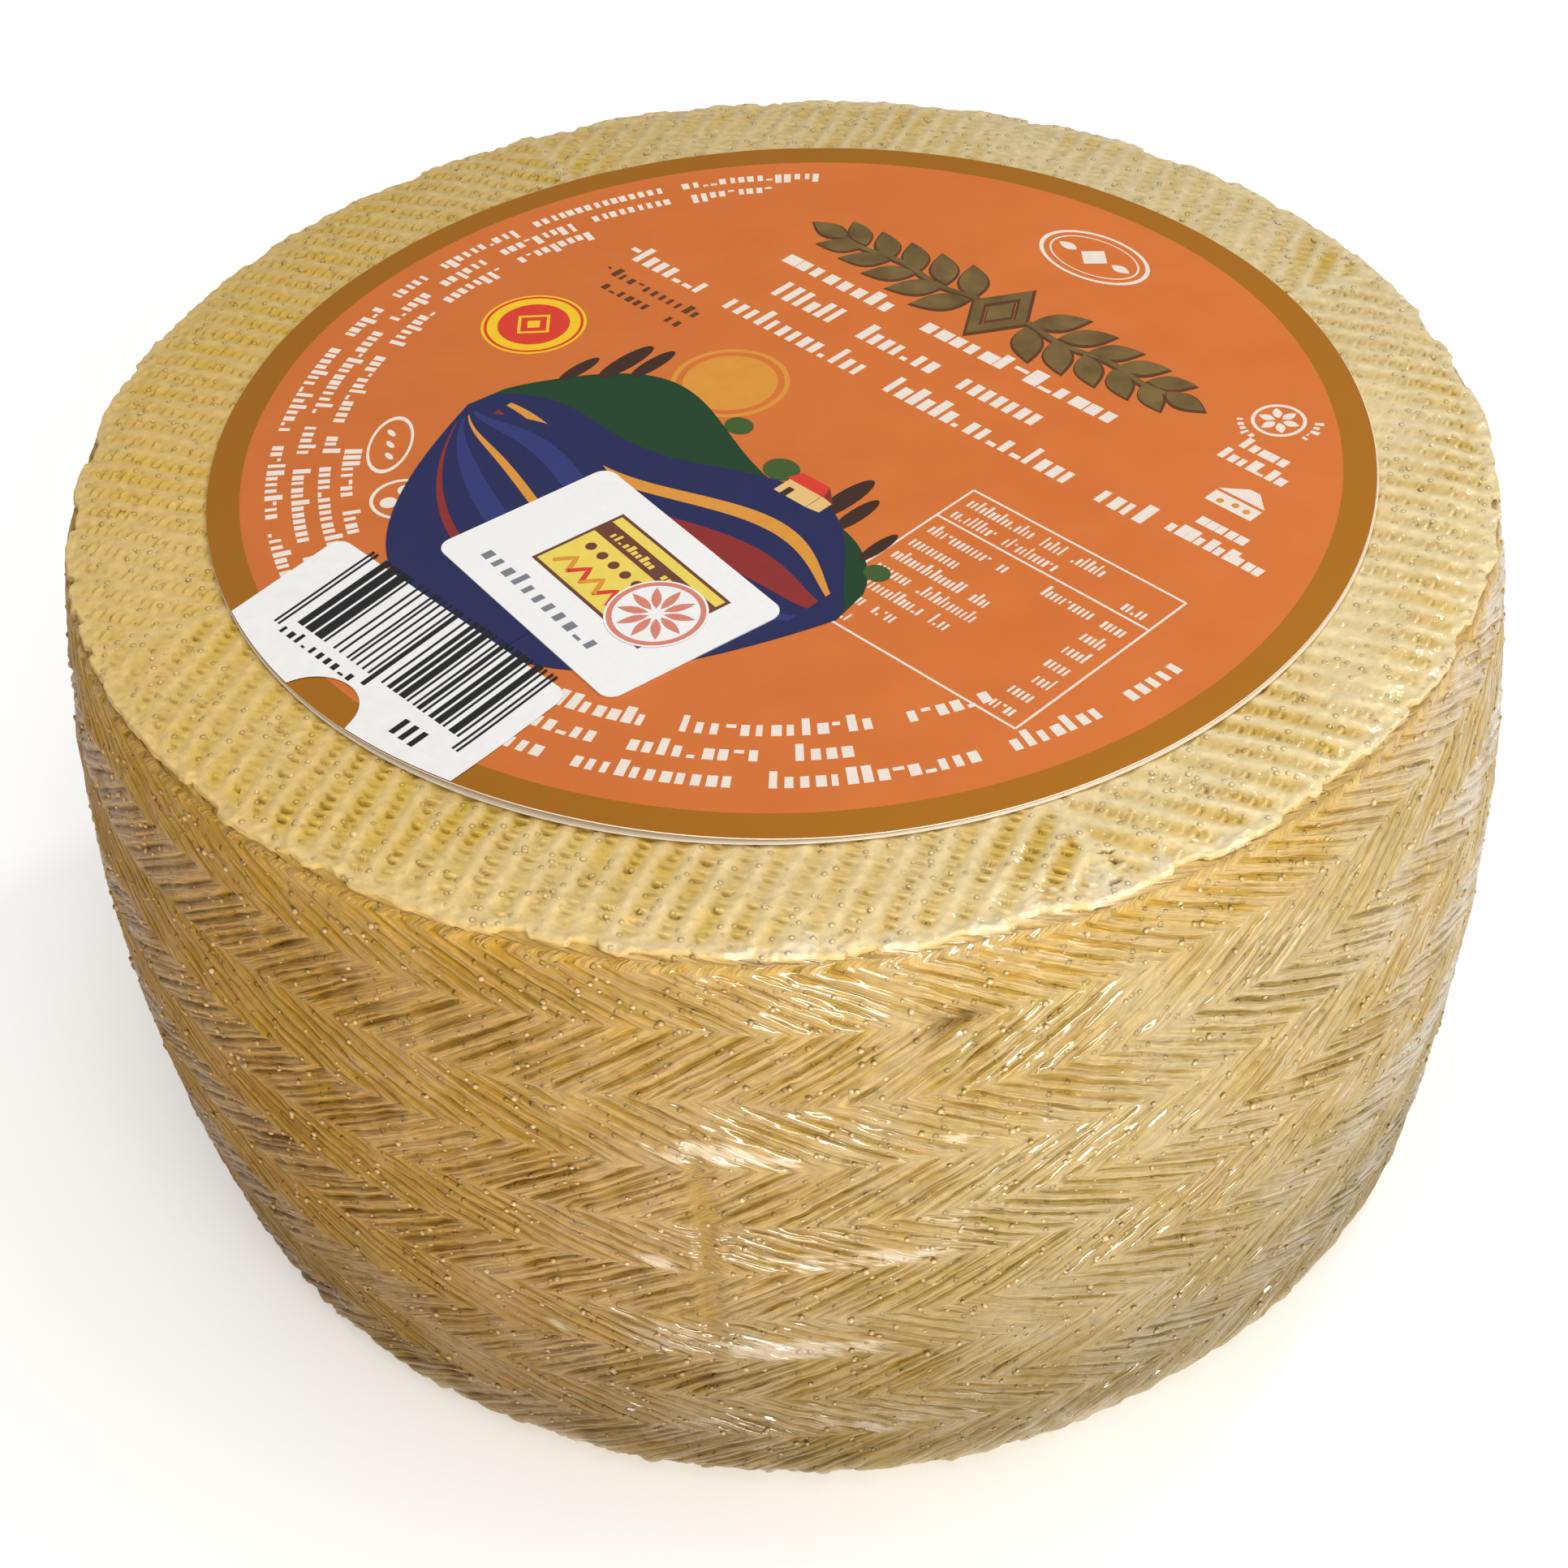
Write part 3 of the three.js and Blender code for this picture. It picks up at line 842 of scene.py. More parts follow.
def buildUndersideDisc(material):
    # Middle of the lower face: a square grid bent to a disc, with the same troughs and scales, closed above.
    # Concentric map: a square ring at distance a becomes a circle of radius a
    radius = lowerFace["disc"]
    cells = lowerFace["discCells"]
    line = np.linspace(-1, 1, cells + 1)
    u, v = np.meshgrid(line, line)
    wide = np.abs(u) > np.abs(v)
    big = np.where(wide, u, v)
    small = np.where(wide, v, u)
    angle = math.pi / 4 * small / np.where(big == 0, 1, big)
    x = radius * np.where(wide, big * np.cos(angle), big * np.sin(angle))
    y = radius * np.where(wide, big * np.sin(angle), big * np.cos(angle))
    relief, hollow, trough = faceRelief(x, y, 91)
    distance = np.hypot(x, y)
    height = np.maximum(0, -relief) + 0.8 * ease(distance, radius - 0.5, radius)
    below = np.stack([x + wheel["footShift"], y, height], -1).reshape(-1, 3)
    quads = gridQuads(cells + 1, cells + 1, False, False)
    ring = np.concatenate([
        np.arange(cells),
        np.arange(cells) * (cells + 1) + cells,
        (cells + 1) * (cells + 1) - 1 - np.arange(cells),
        (cells - np.arange(cells)) * (cells + 1),
    ])
    above = below[ring] * (0.98, 0.98, 1)
    above[:, 2] = 3
    points = np.concatenate([below, above, [(wheel["footShift"], 0, 3)]])
    first = len(below)
    count = len(ring)
    number = np.arange(count)
    following = (number + 1) % count
    wall = np.stack([ring, first + number, first + following, ring[following]], -1)
    lid = np.stack([first + number, np.full(count, len(points) - 1), first + following], -1)
    mesh = newMesh("rindUnderside", points, np.concatenate([quads, wall]), lid)
    mesh.flip_normals()
    for key, values in (("hollow", hollow), ("trough", trough)):
        padded = np.zeros(len(points))
        padded[:first] = values.ravel()
        setAttribute(mesh, key, padded)
    for key in ("crest", "chalk", "amber", "stain", "fibreX", "fibreY", "fibreZ"):
        setAttribute(mesh, key, np.zeros(len(points)))
    setAttribute(mesh, "face", np.ones(len(points)))
    addPiece("rindUnderside", mesh, "rind", [material], "cheese_wheel")
    print("underside done")


# Material of the rind

rindLook = {
    # Pairs of Brown and Cream colours: the side is painted browner and darker on the left flank as shade, and
    # paler on the right as lit
    "sideBrown": "#986A12",
    "sideGold": "#AB821D",
    "sideCream": "#A78E4E",
    # Grooves darker and crests paler than the skin: partly their own colour, partly painted shade and painted
    # light of the relief
    "grooveBrown": "#583504",
    "grooveCream": "#7E601C",
    "crestBrown": "#C19655",
    "crestCream": "#C1A978",
    # The face is painted darker on the left and lighter on the right, as the light falls
    "faceLeft": "#E0C07C",
    "faceRight": "#F0DBA9",
    "faceTrough": "#DAB44C",
    "faceHollow": "#8F6810",
    "amber": "#C99A26",
    "flake": "#E0C9A8",
    "chalk": "#E9DAB9",
    "stain": "#603E04",
    # Painted shade: the colour is darker towards the foot and towards the back, by these shares
    "paintedFootShade": 0.53,  # share of the colour that is left at the foot
    "paintedBackShade": 0.82,
    "smoothest": 0.38,
    "roughest": 0.58,
    "gloss": 1.0,
}

# Values from 0 to 1 that the rind's pieces carry at each point, and the fibres' places
rindMarks = ["hollow", "crest", "chalk", "amber", "stain", "face", "trough", "fibreX", "fibreY", "fibreZ"]

# Noise in the rind's material: size in millimetres and detail
rindNoise = {
    "gold": (24, 2.0),
    "golden": (9, 2.0),
    "speckle": (1.3, 4.0),
    "grain": (0.3, 3.0),
    "dents": (1.6, 3.0),
    "dull": (6, 3.0),
    "oil": (11, 2.0),
}


def cheeseRind():
    # Pressed, aged sheep's milk cheese rind, rubbed with oil. The fat gives it a soft glow under the surface
    # and an uneven glossy coat, the hollows are browner, partly as painted shade, and duller, and dry flakes
    # are paler
    look = rindLook
    material, tree = newMaterial("oiledPressedCheeseRind")
    place = addNode(tree, "TexCoord", output="Object")
    axes = addNode(tree, "SeparateXYZ", {0: place}).node.outputs
    noise = {}
    for name, (size, detail) in rindNoise.items():
        inputs = {"Vector": place, "Scale": 1 / (size * millimetre), "Detail": detail}
        noise[name] = addNode(tree, "TexNoise", inputs)
    mark = {}
    for name in rindMarks:
        mark[name] = addNode(tree, "Attribute", output="Fac", attribute_name=name)

    # Fibres of 0.7 mm drawn out along the strands, on the side only
    fibrePlace = addNode(tree, "CombineXYZ", {0: mark["fibreX"], 1: mark["fibreY"], 2: mark["fibreZ"]})
    inputs = {"Vector": fibrePlace, "Scale": 1400.0, "Detail": 3.0, "Roughness": 0.62}
    fibres = addNode(tree, "Mix", {0: mark["face"], 2: addNode(tree, "TexNoise", inputs), 3: 0.5})
    # Specks: small raised dots in about two thirds of the cells of 1.5 mm, each painted lighter as a
    # highlight, with a rim of painted shade round it
    cell = addNode(tree, "TexVoronoi", {"Vector": place, "Scale": 670.0}).node.outputs
    picked = (addNode(tree, "SeparateColor", {0: cell["Color"]}), 0.25, 0.4, 0, 1)
    speck = easedProduct(tree, [(cell["Distance"], 0.1, 0.27, 1, 0), picked])
    wide = easedProduct(tree, [(cell["Distance"], 0.2, 0.4, 1, 0), picked])
    rim = addNode(tree, "Math", {0: wide, 1: speck}, operation="SUBTRACT", use_clamp=True)

    # Painted light and shade: the side is painted browner and darker on the left flank and paler on the
    # right, from left to right over the wheel's width
    flank = easedProduct(tree, [(axes["X"], -0.07, 0.04, 0, 1)])
    skin, groove, crest = (
        layColours(tree, look[part + "Brown"], [(flank, 1, look[part + "Cream"])])
        for part in ("side", "groove", "crest")
    )
    # Crests are laid paler and hollows darker: the skin's own tones with painted light and painted shade of
    # the relief
    side = layColours(tree, skin, [
        (easedProduct(tree, [(noise["gold"], 0.35, 0.68, 0, 1)]), 0.5, look["sideGold"]),
        (mark["amber"], 0.75, look["amber"]),
        (mark["crest"], 0.55, crest),
        (mark["hollow"], 0.78, groove),
    ])
    # Painted light: the face goes from faceLeft to the lighter faceRight from left to right, as the light
    # falls from the right
    face = layColours(tree, look["faceLeft"], [
        (easedProduct(tree, [(axes["X"], -0.085, 0.06, 0, 1)]), 1, look["faceRight"]),
        (mark["trough"], easedProduct(tree, [(noise["golden"], 0.3, 0.7, 0.5, 1)]), look["faceTrough"]),
        (mark["amber"], 0.6, look["sideGold"]),
        # The crescent hollows and the slits are painted darker: painted shade with a browner tone
        (mark["hollow"], 0.78, look["faceHollow"]),
    ])
    colour = layColours(tree, side, [
        (mark["face"], 1, face),
        (mark["chalk"], 1, layColours(tree, look["flake"], [(mark["face"], 1, look["chalk"])])),
        (mark["stain"], 1, look["stain"]),
    ])
    colour = shaded(tree, colour, easedProduct(tree, [
        (noise["speckle"], 0.3, 0.75, 0.9, 1.07),
        (fibres, 0.3, 0.7, 0.82, 1.13),
        # Painted highlight on the specks and painted shade in the rims round them
        (rim, 0, 1, 1, 0.82),
        (speck, 0, 1, 1, 1.14),
        # Painted shade, darker towards the foot and towards the back
        (axes["Z"], 0, 0.065, look["paintedFootShade"], 1),
        (axes["Y"], -0.04, 0.09, 1, look["paintedBackShade"]),
    ]))
    # The pressed skin has a fine grain of 0.3 mm and soft dents of 1.6 mm under the fibres and specks
    normal = layBumps(tree, [
        (noise["grain"], 0.4, 0.15),
        (noise["dents"], 0.5, 0.3),
        (fibres, 0.9, 0.7),
        (speck, 0.8, 0.35),
    ])
    rough = easedProduct(tree, [(noise["dull"], 0.3, 0.7, look["smoothest"], look["roughest"])])
    rough = addNode(tree, "Math", {0: mark["hollow"], 1: 0.15, 2: rough}, operation="MULTIPLY_ADD",
                    use_clamp=True)
    # The oil stands in patches of 11 mm on the crests, and has dried away on the left flank, which is painted
    # darker as shade
    oiled = easedProduct(tree, [
        (noise["oil"], 0.34, 0.6, 0.3, 1),
        (axes["X"], -0.07, 0, 0.2, look["gloss"]),
        (mark["hollow"], 0, 0.8, 1, 0.2),
        (mark["stain"], 0, 0.6, 1, 0.05),
    ])
    finishMaterial(tree, {
        "Base Color": colour,
        "Roughness": rough,
        "IOR": 1.43,
        "Specular IOR Level": 0.14,
        "Subsurface Weight": 0.15,
        "Subsurface Radius": (1.0, 0.7, 0.35),
        "Subsurface Scale": 0.0009,
        "Coat Weight": oiled,
        "Coat Roughness": 0.1,
        "Normal": normal,
    })
    return material


# Round label of two plies

label = {
    "centre": (1.4, 0.0),
    "radius": 75.0,
    "ringInside": 70.8,
    "bottom": 102.15,
    "thickness": 0.25,
    "lift": 0.7,
    "liftAzimuth": -117.0,
    "liftSpread": 22.0,
    "liftStart": 58.0,
    "ripple": 0.045,
    "backingRadius": 75.1,
    "backingShift": (0.12, -0.26),  # the lower ply shows at the front and right only
    "backingBottom": 101.9,
    "backingThickness": 0.15,
    "segments": 480,
    "designTurn": -47.0,  # the print's lines slope down to the right on the wheel
    "inkLayer": 0.02,
}


def labelLift(x, y):
    # The edge has come loose at the front left: grows outwards squared, and fades to both sides as a bell
    distance = np.hypot(x, y)
    outward = np.clip((distance - label["liftStart"]) / (label["radius"] - label["liftStart"]), 0, 1)
    around = (np.degrees(np.arctan2(y, x)) - label["liftAzimuth"]) / label["liftSpread"]
    return label["lift"] * outward ** 2 * np.exp(-around ** 2)


def labelTop(x, y):
    # Height of the printed side at a place from the label's centre, with the paper's faint ripples
    ripple = softNoise(101, x / 17 + 32, y / 17 + 32, 64) + 0.5 * softNoise(102, x / 7 + 32, y / 7 + 32, 64)
    calm = 1 - ease(labelLift(x, y), 0, 0.3)
    raised = labelLift(x, y) * 0.97 + label["ripple"] * ripple * calm
    return label["bottom"] + label["thickness"] - 0.08 + raised


def paperSheet(name, radii, top, bottom, centre, segments):
    # Closed round sheet: rings over the upper side, round the edge and back over the lower side
    azimuth = 2 * math.pi * np.arange(segments) / segments
    radius = np.array(radii)[:, None] + 0 * azimuth
    x = radius * np.cos(azimuth)
    y = radius * np.sin(azimuth)
    over = np.stack([x, y, top(x, y)], -1)
    under = np.stack([x, y, bottom(x, y)], -1)[::-1]
    rings = np.concatenate([over, under])
    quads = gridQuads(len(rings), segments, False, True)
    zero = np.zeros(1)
    poles = np.array([(0, 0, top(zero, zero)[0]), (0, 0, bottom(zero, zero)[0])])
    points = np.concatenate([rings.reshape(-1, 3), poles]) + (centre[0], centre[1], 0)
    mesh = newMesh(name, points, quads, poleTriangles(segments, len(rings)))
    shownQuads = (len(radii) - 1) * segments
    slots = np.ones(len(mesh.polygons), np.int32)
    slots[:shownQuads] = 0
    slots[len(quads):len(quads) + segments] = 0
    mesh.polygons.foreach_set("material_index", slots)
    sharpenRings(mesh, segments, (len(radii) - 1, len(radii)))
    return mesh


def buildLabel(printed, paper):
    inside = label["ringInside"]
    outer = [71.5, 72.4, 73.3, 74.1, 74.7, label["radius"]]
    radii = [*np.linspace(2, 70, 35), inside - 0.03, inside + 0.03, *outer]
    mesh = paperSheet("roundLabel", radii, labelTop, lambda x, y: labelTop(x, y) - 0.17,
                      label["centre"], label["segments"])
    radius = np.array([*radii, *radii[::-1]])
    ring = np.repeat((radius > inside).astype(float), label["segments"])
    setAttribute(mesh, "bronzeRing", np.concatenate([ring, [0, 0]]))
    addPiece("roundLabel", mesh, "label_paper", [printed, paper], "round_label")

    def backingTop(x, y):
        # The lower ply follows the cheese and curls up a little where the label has come loose
        return label["backingBottom"] + label["backingThickness"] + 0.1 * labelLift(x, y)

    shifted = np.add(label["centre"], label["backingShift"])
    backing = paperSheet("labelBacking", [30, 60, 68, 72, 74, 74.8, label["backingRadius"]], backingTop,
                         lambda x, y: backingTop(x, y) - label["backingThickness"], shifted, 240)
    addPiece("labelBacking", backing, "backing_paper", [paper, paper], "label_backing")
    print("label done")


# Print: fields of ink worked out flat from the label's centre and laid on the paper as thin films

inks = {
    "white": "#F1E4D6",
    "paperWhite": "#F6F4F1",
    "panelWhite": "#F4F2EF",
    "navy": "#1B2054",
    "slate": "#2B3372",
    "darkGreen": "#0D3D1C",
    "leafGreen": "#3F5A24",
    "wine": "#8E2622",
    "ochre": "#DE9634",
    "sand": "#EBC07A",
    "darkBrown": "#3B2012",
    "shadowBrown": "#5E3517",
    "yellow": "#F6C81A",
    "scarlet": "#DC3A26",
    "black": "#121214",
    "grey": "#7C7F86",
    "paleYellow": "#EFD65C",
    "cocoa": "#6E3B2C",
    "rose": "#D9836F",
}


class Print:
    # Collects flat fields, each with its ink and its layer above the paper
    def __init__(self, name):
        self.name = name
        self.points = []
        self.quads = []
        self.colours = []
        self.layers = []
        self.count = 0

    def add(self, points, quads, ink, layer):
        self.points.append(points)
        self.quads.append(quads + self.count)
        self.colours.append(np.tile(linearColour(inks[ink]), (len(points), 1)))
        self.layers.append(np.full(len(points), float(layer)))
        self.count += len(points)

    def field(self, points, ink, layer=1, closed=False):
        # A grid of flat points, rows by columns by two, which may close round on itself
        rows, columns = points.shape[:2]
        self.add(points.reshape(-1, 2), gridQuads(rows, columns, False, closed), ink, layer)

    def patches(self, corners, ink, layer=1):
        # Separate patches of four corners each
        self.add(corners.reshape(-1, 2), np.arange(corners.size // 2).reshape(-1, 4), ink, layer)


def turned(points, degrees, centre=(0.0, 0.0)):
    # Points turned about the origin and moved to a centre
    c = math.cos(math.radians(degrees))
    s = math.sin(math.radians(degrees))
    x = points[..., 0]
    y = points[..., 1]
    return np.stack([x * c - y * s + centre[0], x * s + y * c + centre[1]], -1)


def designed(points):
    # From the print's own upright frame to the label's
    return turned(points, label["designTurn"])


def stroke(line, halfWidth):
    # Grid of two rows along a line of flat points, a half width to each side
    step = np.gradient(line, axis=0)
    step = step / np.linalg.norm(step, axis=1, keepdims=True)
    aside = np.stack([-step[:, 1], step[:, 0]], -1) * np.broadcast_to(halfWidth, len(line))[:, None]
    return np.stack([line + aside, line - aside])


def straight(start, end, pieces=2):
    share = np.linspace(0, 1, pieces)[:, None]
    return np.array(start) * (1 - share) + np.array(end) * share


def ring(centre, radius, inner=0.04, pieces=44, stretch=1.0, degrees=0.0):
    # Ring between two radii, or a disc, stretched upwards and turned
    angle = 2 * math.pi * np.arange(pieces) / pieces
    circle = np.stack([np.cos(angle), stretch * np.sin(angle)], -1)
    return turned(np.stack([circle * radius, circle * inner]), degrees, centre)


def leaf(root, length, width, degrees, pieces=10):
    # Pointed leaf from its root: the half width swells and shrinks as a sine along it
    share = np.linspace(0, 1, pieces)
    half = width / 2 * np.sin(math.pi * share ** 0.9) + 0.02
    along = share * length
    return turned(np.stack([np.stack([along, half], -1), np.stack([along, -half], -1)]), degrees, root)


def rosette(centre, radius, petals, width, start=0.0):
    # Petals round a centre, from a fifth of the radius outwards
    pieces = []
    for number in range(petals):
        direction = start + 360 * number / petals
        root = turned(np.array([0.2 * radius, 0.0]), direction, centre)
        pieces.append(leaf(root, 0.8 * radius, width, direction, 6))
    return pieces


def dashes(place, length, height, seed, weight=0.5, pitch=0.34):
    # A line of fine upright dashes in words, where lettering would be. Most are as tall as a small letter,
    # some as a tall one and a few are dots. place turns distances along and up into flat points
    draw = np.random.default_rng(seed)
    step = pitch * height
    gaps = np.cumsum(draw.integers(5, 19, 80)) - 1
    slot = np.arange(int(length / step))
    slot = slot[~np.isin(slot, np.concatenate([gaps, gaps + 1]))]
    kind = draw.random(len(slot))
    tall = np.where(kind < 0.16, height, np.where(kind < 0.9, 0.66 * height, 0.2 * height))
    foot = np.where(kind > 0.95, 0.46 * height, 0)
    wide = step * weight * draw.uniform(0.7, 1.3, len(slot))
    left = slot * step
    along = np.stack([left, left + wide, left + wide, left], -1)
    up = np.stack([foot, foot, foot + tall, foot + tall], -1)
    return place(along, up)


def onLine(x, y):
    # Place for dashes on a straight line of the design that starts at x and y
    return lambda along, up: designed(np.stack([x + along, y + up], -1))


def onArc(radius, azimuth):
    # Place for dashes on an arc of the label, anticlockwise with their tops inwards
    def place(along, up):
        angle = math.radians(azimuth) + along / radius
        reach = radius - up
        return np.stack([reach * np.cos(angle), reach * np.sin(angle)], -1)
    return place


def drawTitle(foil, ink):
    # Garland of leaf pairs to both sides of a lozenge, in foil with a dark edge. Only the lozenges, which are
    # grids of four columns, close round on themselves
    shapes = []
    for side in (-1, 1):
        x = np.linspace(4.5, 31.0, 30)
        stem = np.stack([side * x, 41 + 0.5 * np.sin(x / 2.4)], -1)
        shapes.append((stroke(stem, 0.4), stroke(stem, 0.7)))
        for number in range(5):
            reach = 5.2 + 5.1 * number
            size = 1 - 0.05 * number
            for up in (-1, 1):
                direction = up * (48 - 4 * number)
                direction = direction if side > 0 else 180 - direction
                root = (side * reach, 41 + 0.4 * up)
                outer = (side * (reach - 0.25), 41 + 0.1 * up)
                shapes.append((leaf(root, 8.2 * size, 3.9 * size, direction),
                               leaf(outer, 9.0 * size, 4.6 * size, direction)))
        direction = 0 if side > 0 else 180
        shapes.append((leaf((side * 29, 41), 6.5, 3.2, direction),
                       leaf((side * 28.6, 41), 7.3, 3.9, direction)))
    shapes.append((ring((0, 41), 4.6, 2.9, 4, 1.5), ring((0, 41), 5.1, 2.4, 4, 1.5)))
    shapes.append((ring((0, 41), 2.0, 0.04, 4, 1.5), ring((0, 41), 2.3, 0.04, 4, 1.5)))
    for bright, dark in shapes:
        closed = bright.shape[1] == 4
        ink.field(designed(dark + (0.22, -0.22)), "shadowBrown", 1, closed)
        foil.field(designed(bright), "sand", 2, closed)


def drawMarks(ink):
    # Small round and oval marks of the design
    centre = (0.7, 60.0)
    for shape in ((9.0, 8.3, 48, 0.6), (7.4, 7.1, 48, 0.56), (2.4, 0.04, 4, 0.9)):
        ink.field(designed(ring(centre, *shape)), "white", 1, True)
    for side in (0, 180):
        root = turned(np.array([3.2, 0.0]), side, centre)
        ink.field(designed(leaf(root, 3.2, 1.5, side)), "white", 1)

    centre = (-46.0, -3.4)
    shapes = [("yellow", 1, (7.3, 4.9)), ("scarlet", 2, (5.0,)), ("scarlet", 2, (6.9, 6.5)),
              ("yellow", 3, (3.1, 2.5, 4)), ("yellow", 3, (1.2, 0.04, 4))]
    for name, layer, shape in shapes:
        ink.field(designed(ring(centre, *shape)), name, layer, True)

    centre = (44.0, 45.7)
    ink.field(designed(ring(centre, 3.6, 3.1)), "white", 1, True)
    for petal in rosette(centre, 2.8, 6, 1.25, 15):
        ink.field(designed(petal), "white", 1)
    for start, azimuth in ((215, -1), (35, 1)):
        def aroundMark(along, up, start=start, azimuth=azimuth):
            angle = math.radians(start) - azimuth * along / 5.0
            reach = 4.6 + up
            return designed(np.stack([44.0 + reach * np.cos(angle), 45.7 + reach * np.sin(angle)], -1))
        ink.patches(dashes(aroundMark, 7.0, 1.2, 300 + start, 0.6, 0.8), "white", 1)

    sign = (-49.5, -7.6)
    ink.field(ring(sign, 4.3, 3.8), "white", 1, True)
    for direction in (80, 200, 320):
        spot = turned(np.array([1.9, 0.0]), direction, sign)
        ink.field(ring(spot, 1.15, 0.04, 20), "white", 1, True)
    ink.field(ring((-51.9, 4.6), 2.9, 2.55, 44, 2.2, -8), "white", 1, True)
    for number in range(3):
        spot = (-51.9, 2.0 + 2.6 * number)
        ink.field(ring(spot, 0.9, 0.04, 12, 0.45, -60), "white", 1, True)

    # A wedge of cheese between two pairs of bold lines
    bold = [(43.6, 37.8, 8.0), (42.8, 34.4, 11.5), (49.6, 21.6, 9.6), (47.6, 18.0, 15.5)]
    for number, (x, y, length) in enumerate(bold):
        ink.patches(dashes(onLine(x, y), length, 2.4, 320 + number, 0.78, 0.62), "white", 1)
    wedge = np.array([[(47.4, 26.2), (54.6, 26.2), (54.6, 28.6), (47.4, 28.6)],
                      [(47.4, 29.1), (54.6, 29.1), (52.2, 31.4), (50.6, 31.4)]])
    ink.patches(designed(wedge), "white", 1)
    for x in (49.2, 51.3, 53.1):
        ink.field(designed(ring((x, 27.3 + 0.25 * math.sin(x)), 0.5, 0.04, 12)), "ochre", 2, True)


def drawTable(ink):
    # Ruled frame with lines of dashes to the left and short ones to the right
    left = 24.8
    right = 59.0
    low = -22.5
    high = 8.3
    corners = [(left, low), (right, low), (right, high), (left, high), (left, low)]
    for start, end in [*zip(corners, corners[1:]), ((left, 1.4), (right, 1.4))]:
        ink.field(designed(stroke(straight(start, end, 16), 0.16)), "white", 1)
    rows = [(5.2, 24, 0), (2.2, 19, 4), (-2.0, 13, 13), (-5.4, 8, 4), (-8.6, 16, 4), (-11.8, 17, 4),
            (-15.0, 15, 3), (-18.2, 10, 4), (-21.4, 5, 4)]
    for number, (y, length, short) in enumerate(rows):
        ink.patches(dashes(onLine(left + 1.4, y), length, 2.1, 400 + number), "white", 1)
        if short:
            ink.patches(dashes(onLine(right - 1.2 - short, y), short, 2.1, 440 + number), "white", 1)


# Lines of dashes. Straight ones: start, length, height, seed, weight and pitch. Round ones: radius, first
# and last azimuth, height, seed and pitch
straightLines = [
    ((-31.8, 30.6), 61.5, 3.3, 201, 0.74, 0.8),
    ((-27.0, 23.6), 50, 3.9, 202, 0.6, 0.52),
    ((-50.0, 16.8), 96, 3.9, 203, 0.6, 0.52),
]
faintStamp = [((-49, 12.2), 20, 2.0, 230, 0.5, 0.8), ((-46, 9.0), 17, 2.0, 231, 0.5, 0.8)]
roundLines = [
    (57.6, -121, -66, 2.9, 210, 0.62),
    (62.0, -123, -84, 2.9, 211, 0.62),
    (66.6, -123.5, -47, 2.9, 212, 0.62),
    (67.6, 84, 204, 2.3, 220, 0.6),
    (64.2, 90, 203, 2.3, 221, 0.6),
    (60.8, 116, 199, 2.3, 222, 0.6),
    (57.9, 176, 196, 2.3, 223, 0.6),
]


def drawLines(ink):
    # All lines of dashes: under the title, along the label's front edge, and round its left and back
    for start, *shape in straightLines:
        ink.patches(dashes(onLine(*start), *shape), "white", 1)
    for radius, start, end, height, seed, pitch in roundLines:
        length = math.radians(end - start) * radius
        ink.patches(dashes(onArc(radius, start), length, height, seed, 0.6, pitch), "white", 1)
    for start, *shape in faintStamp:
        ink.patches(dashes(onLine(*start), *shape), "shadowBrown", 1)


landscape = {"middle": -4.0, "half": 34.0, "bottom": -54.0, "side": -22.0}


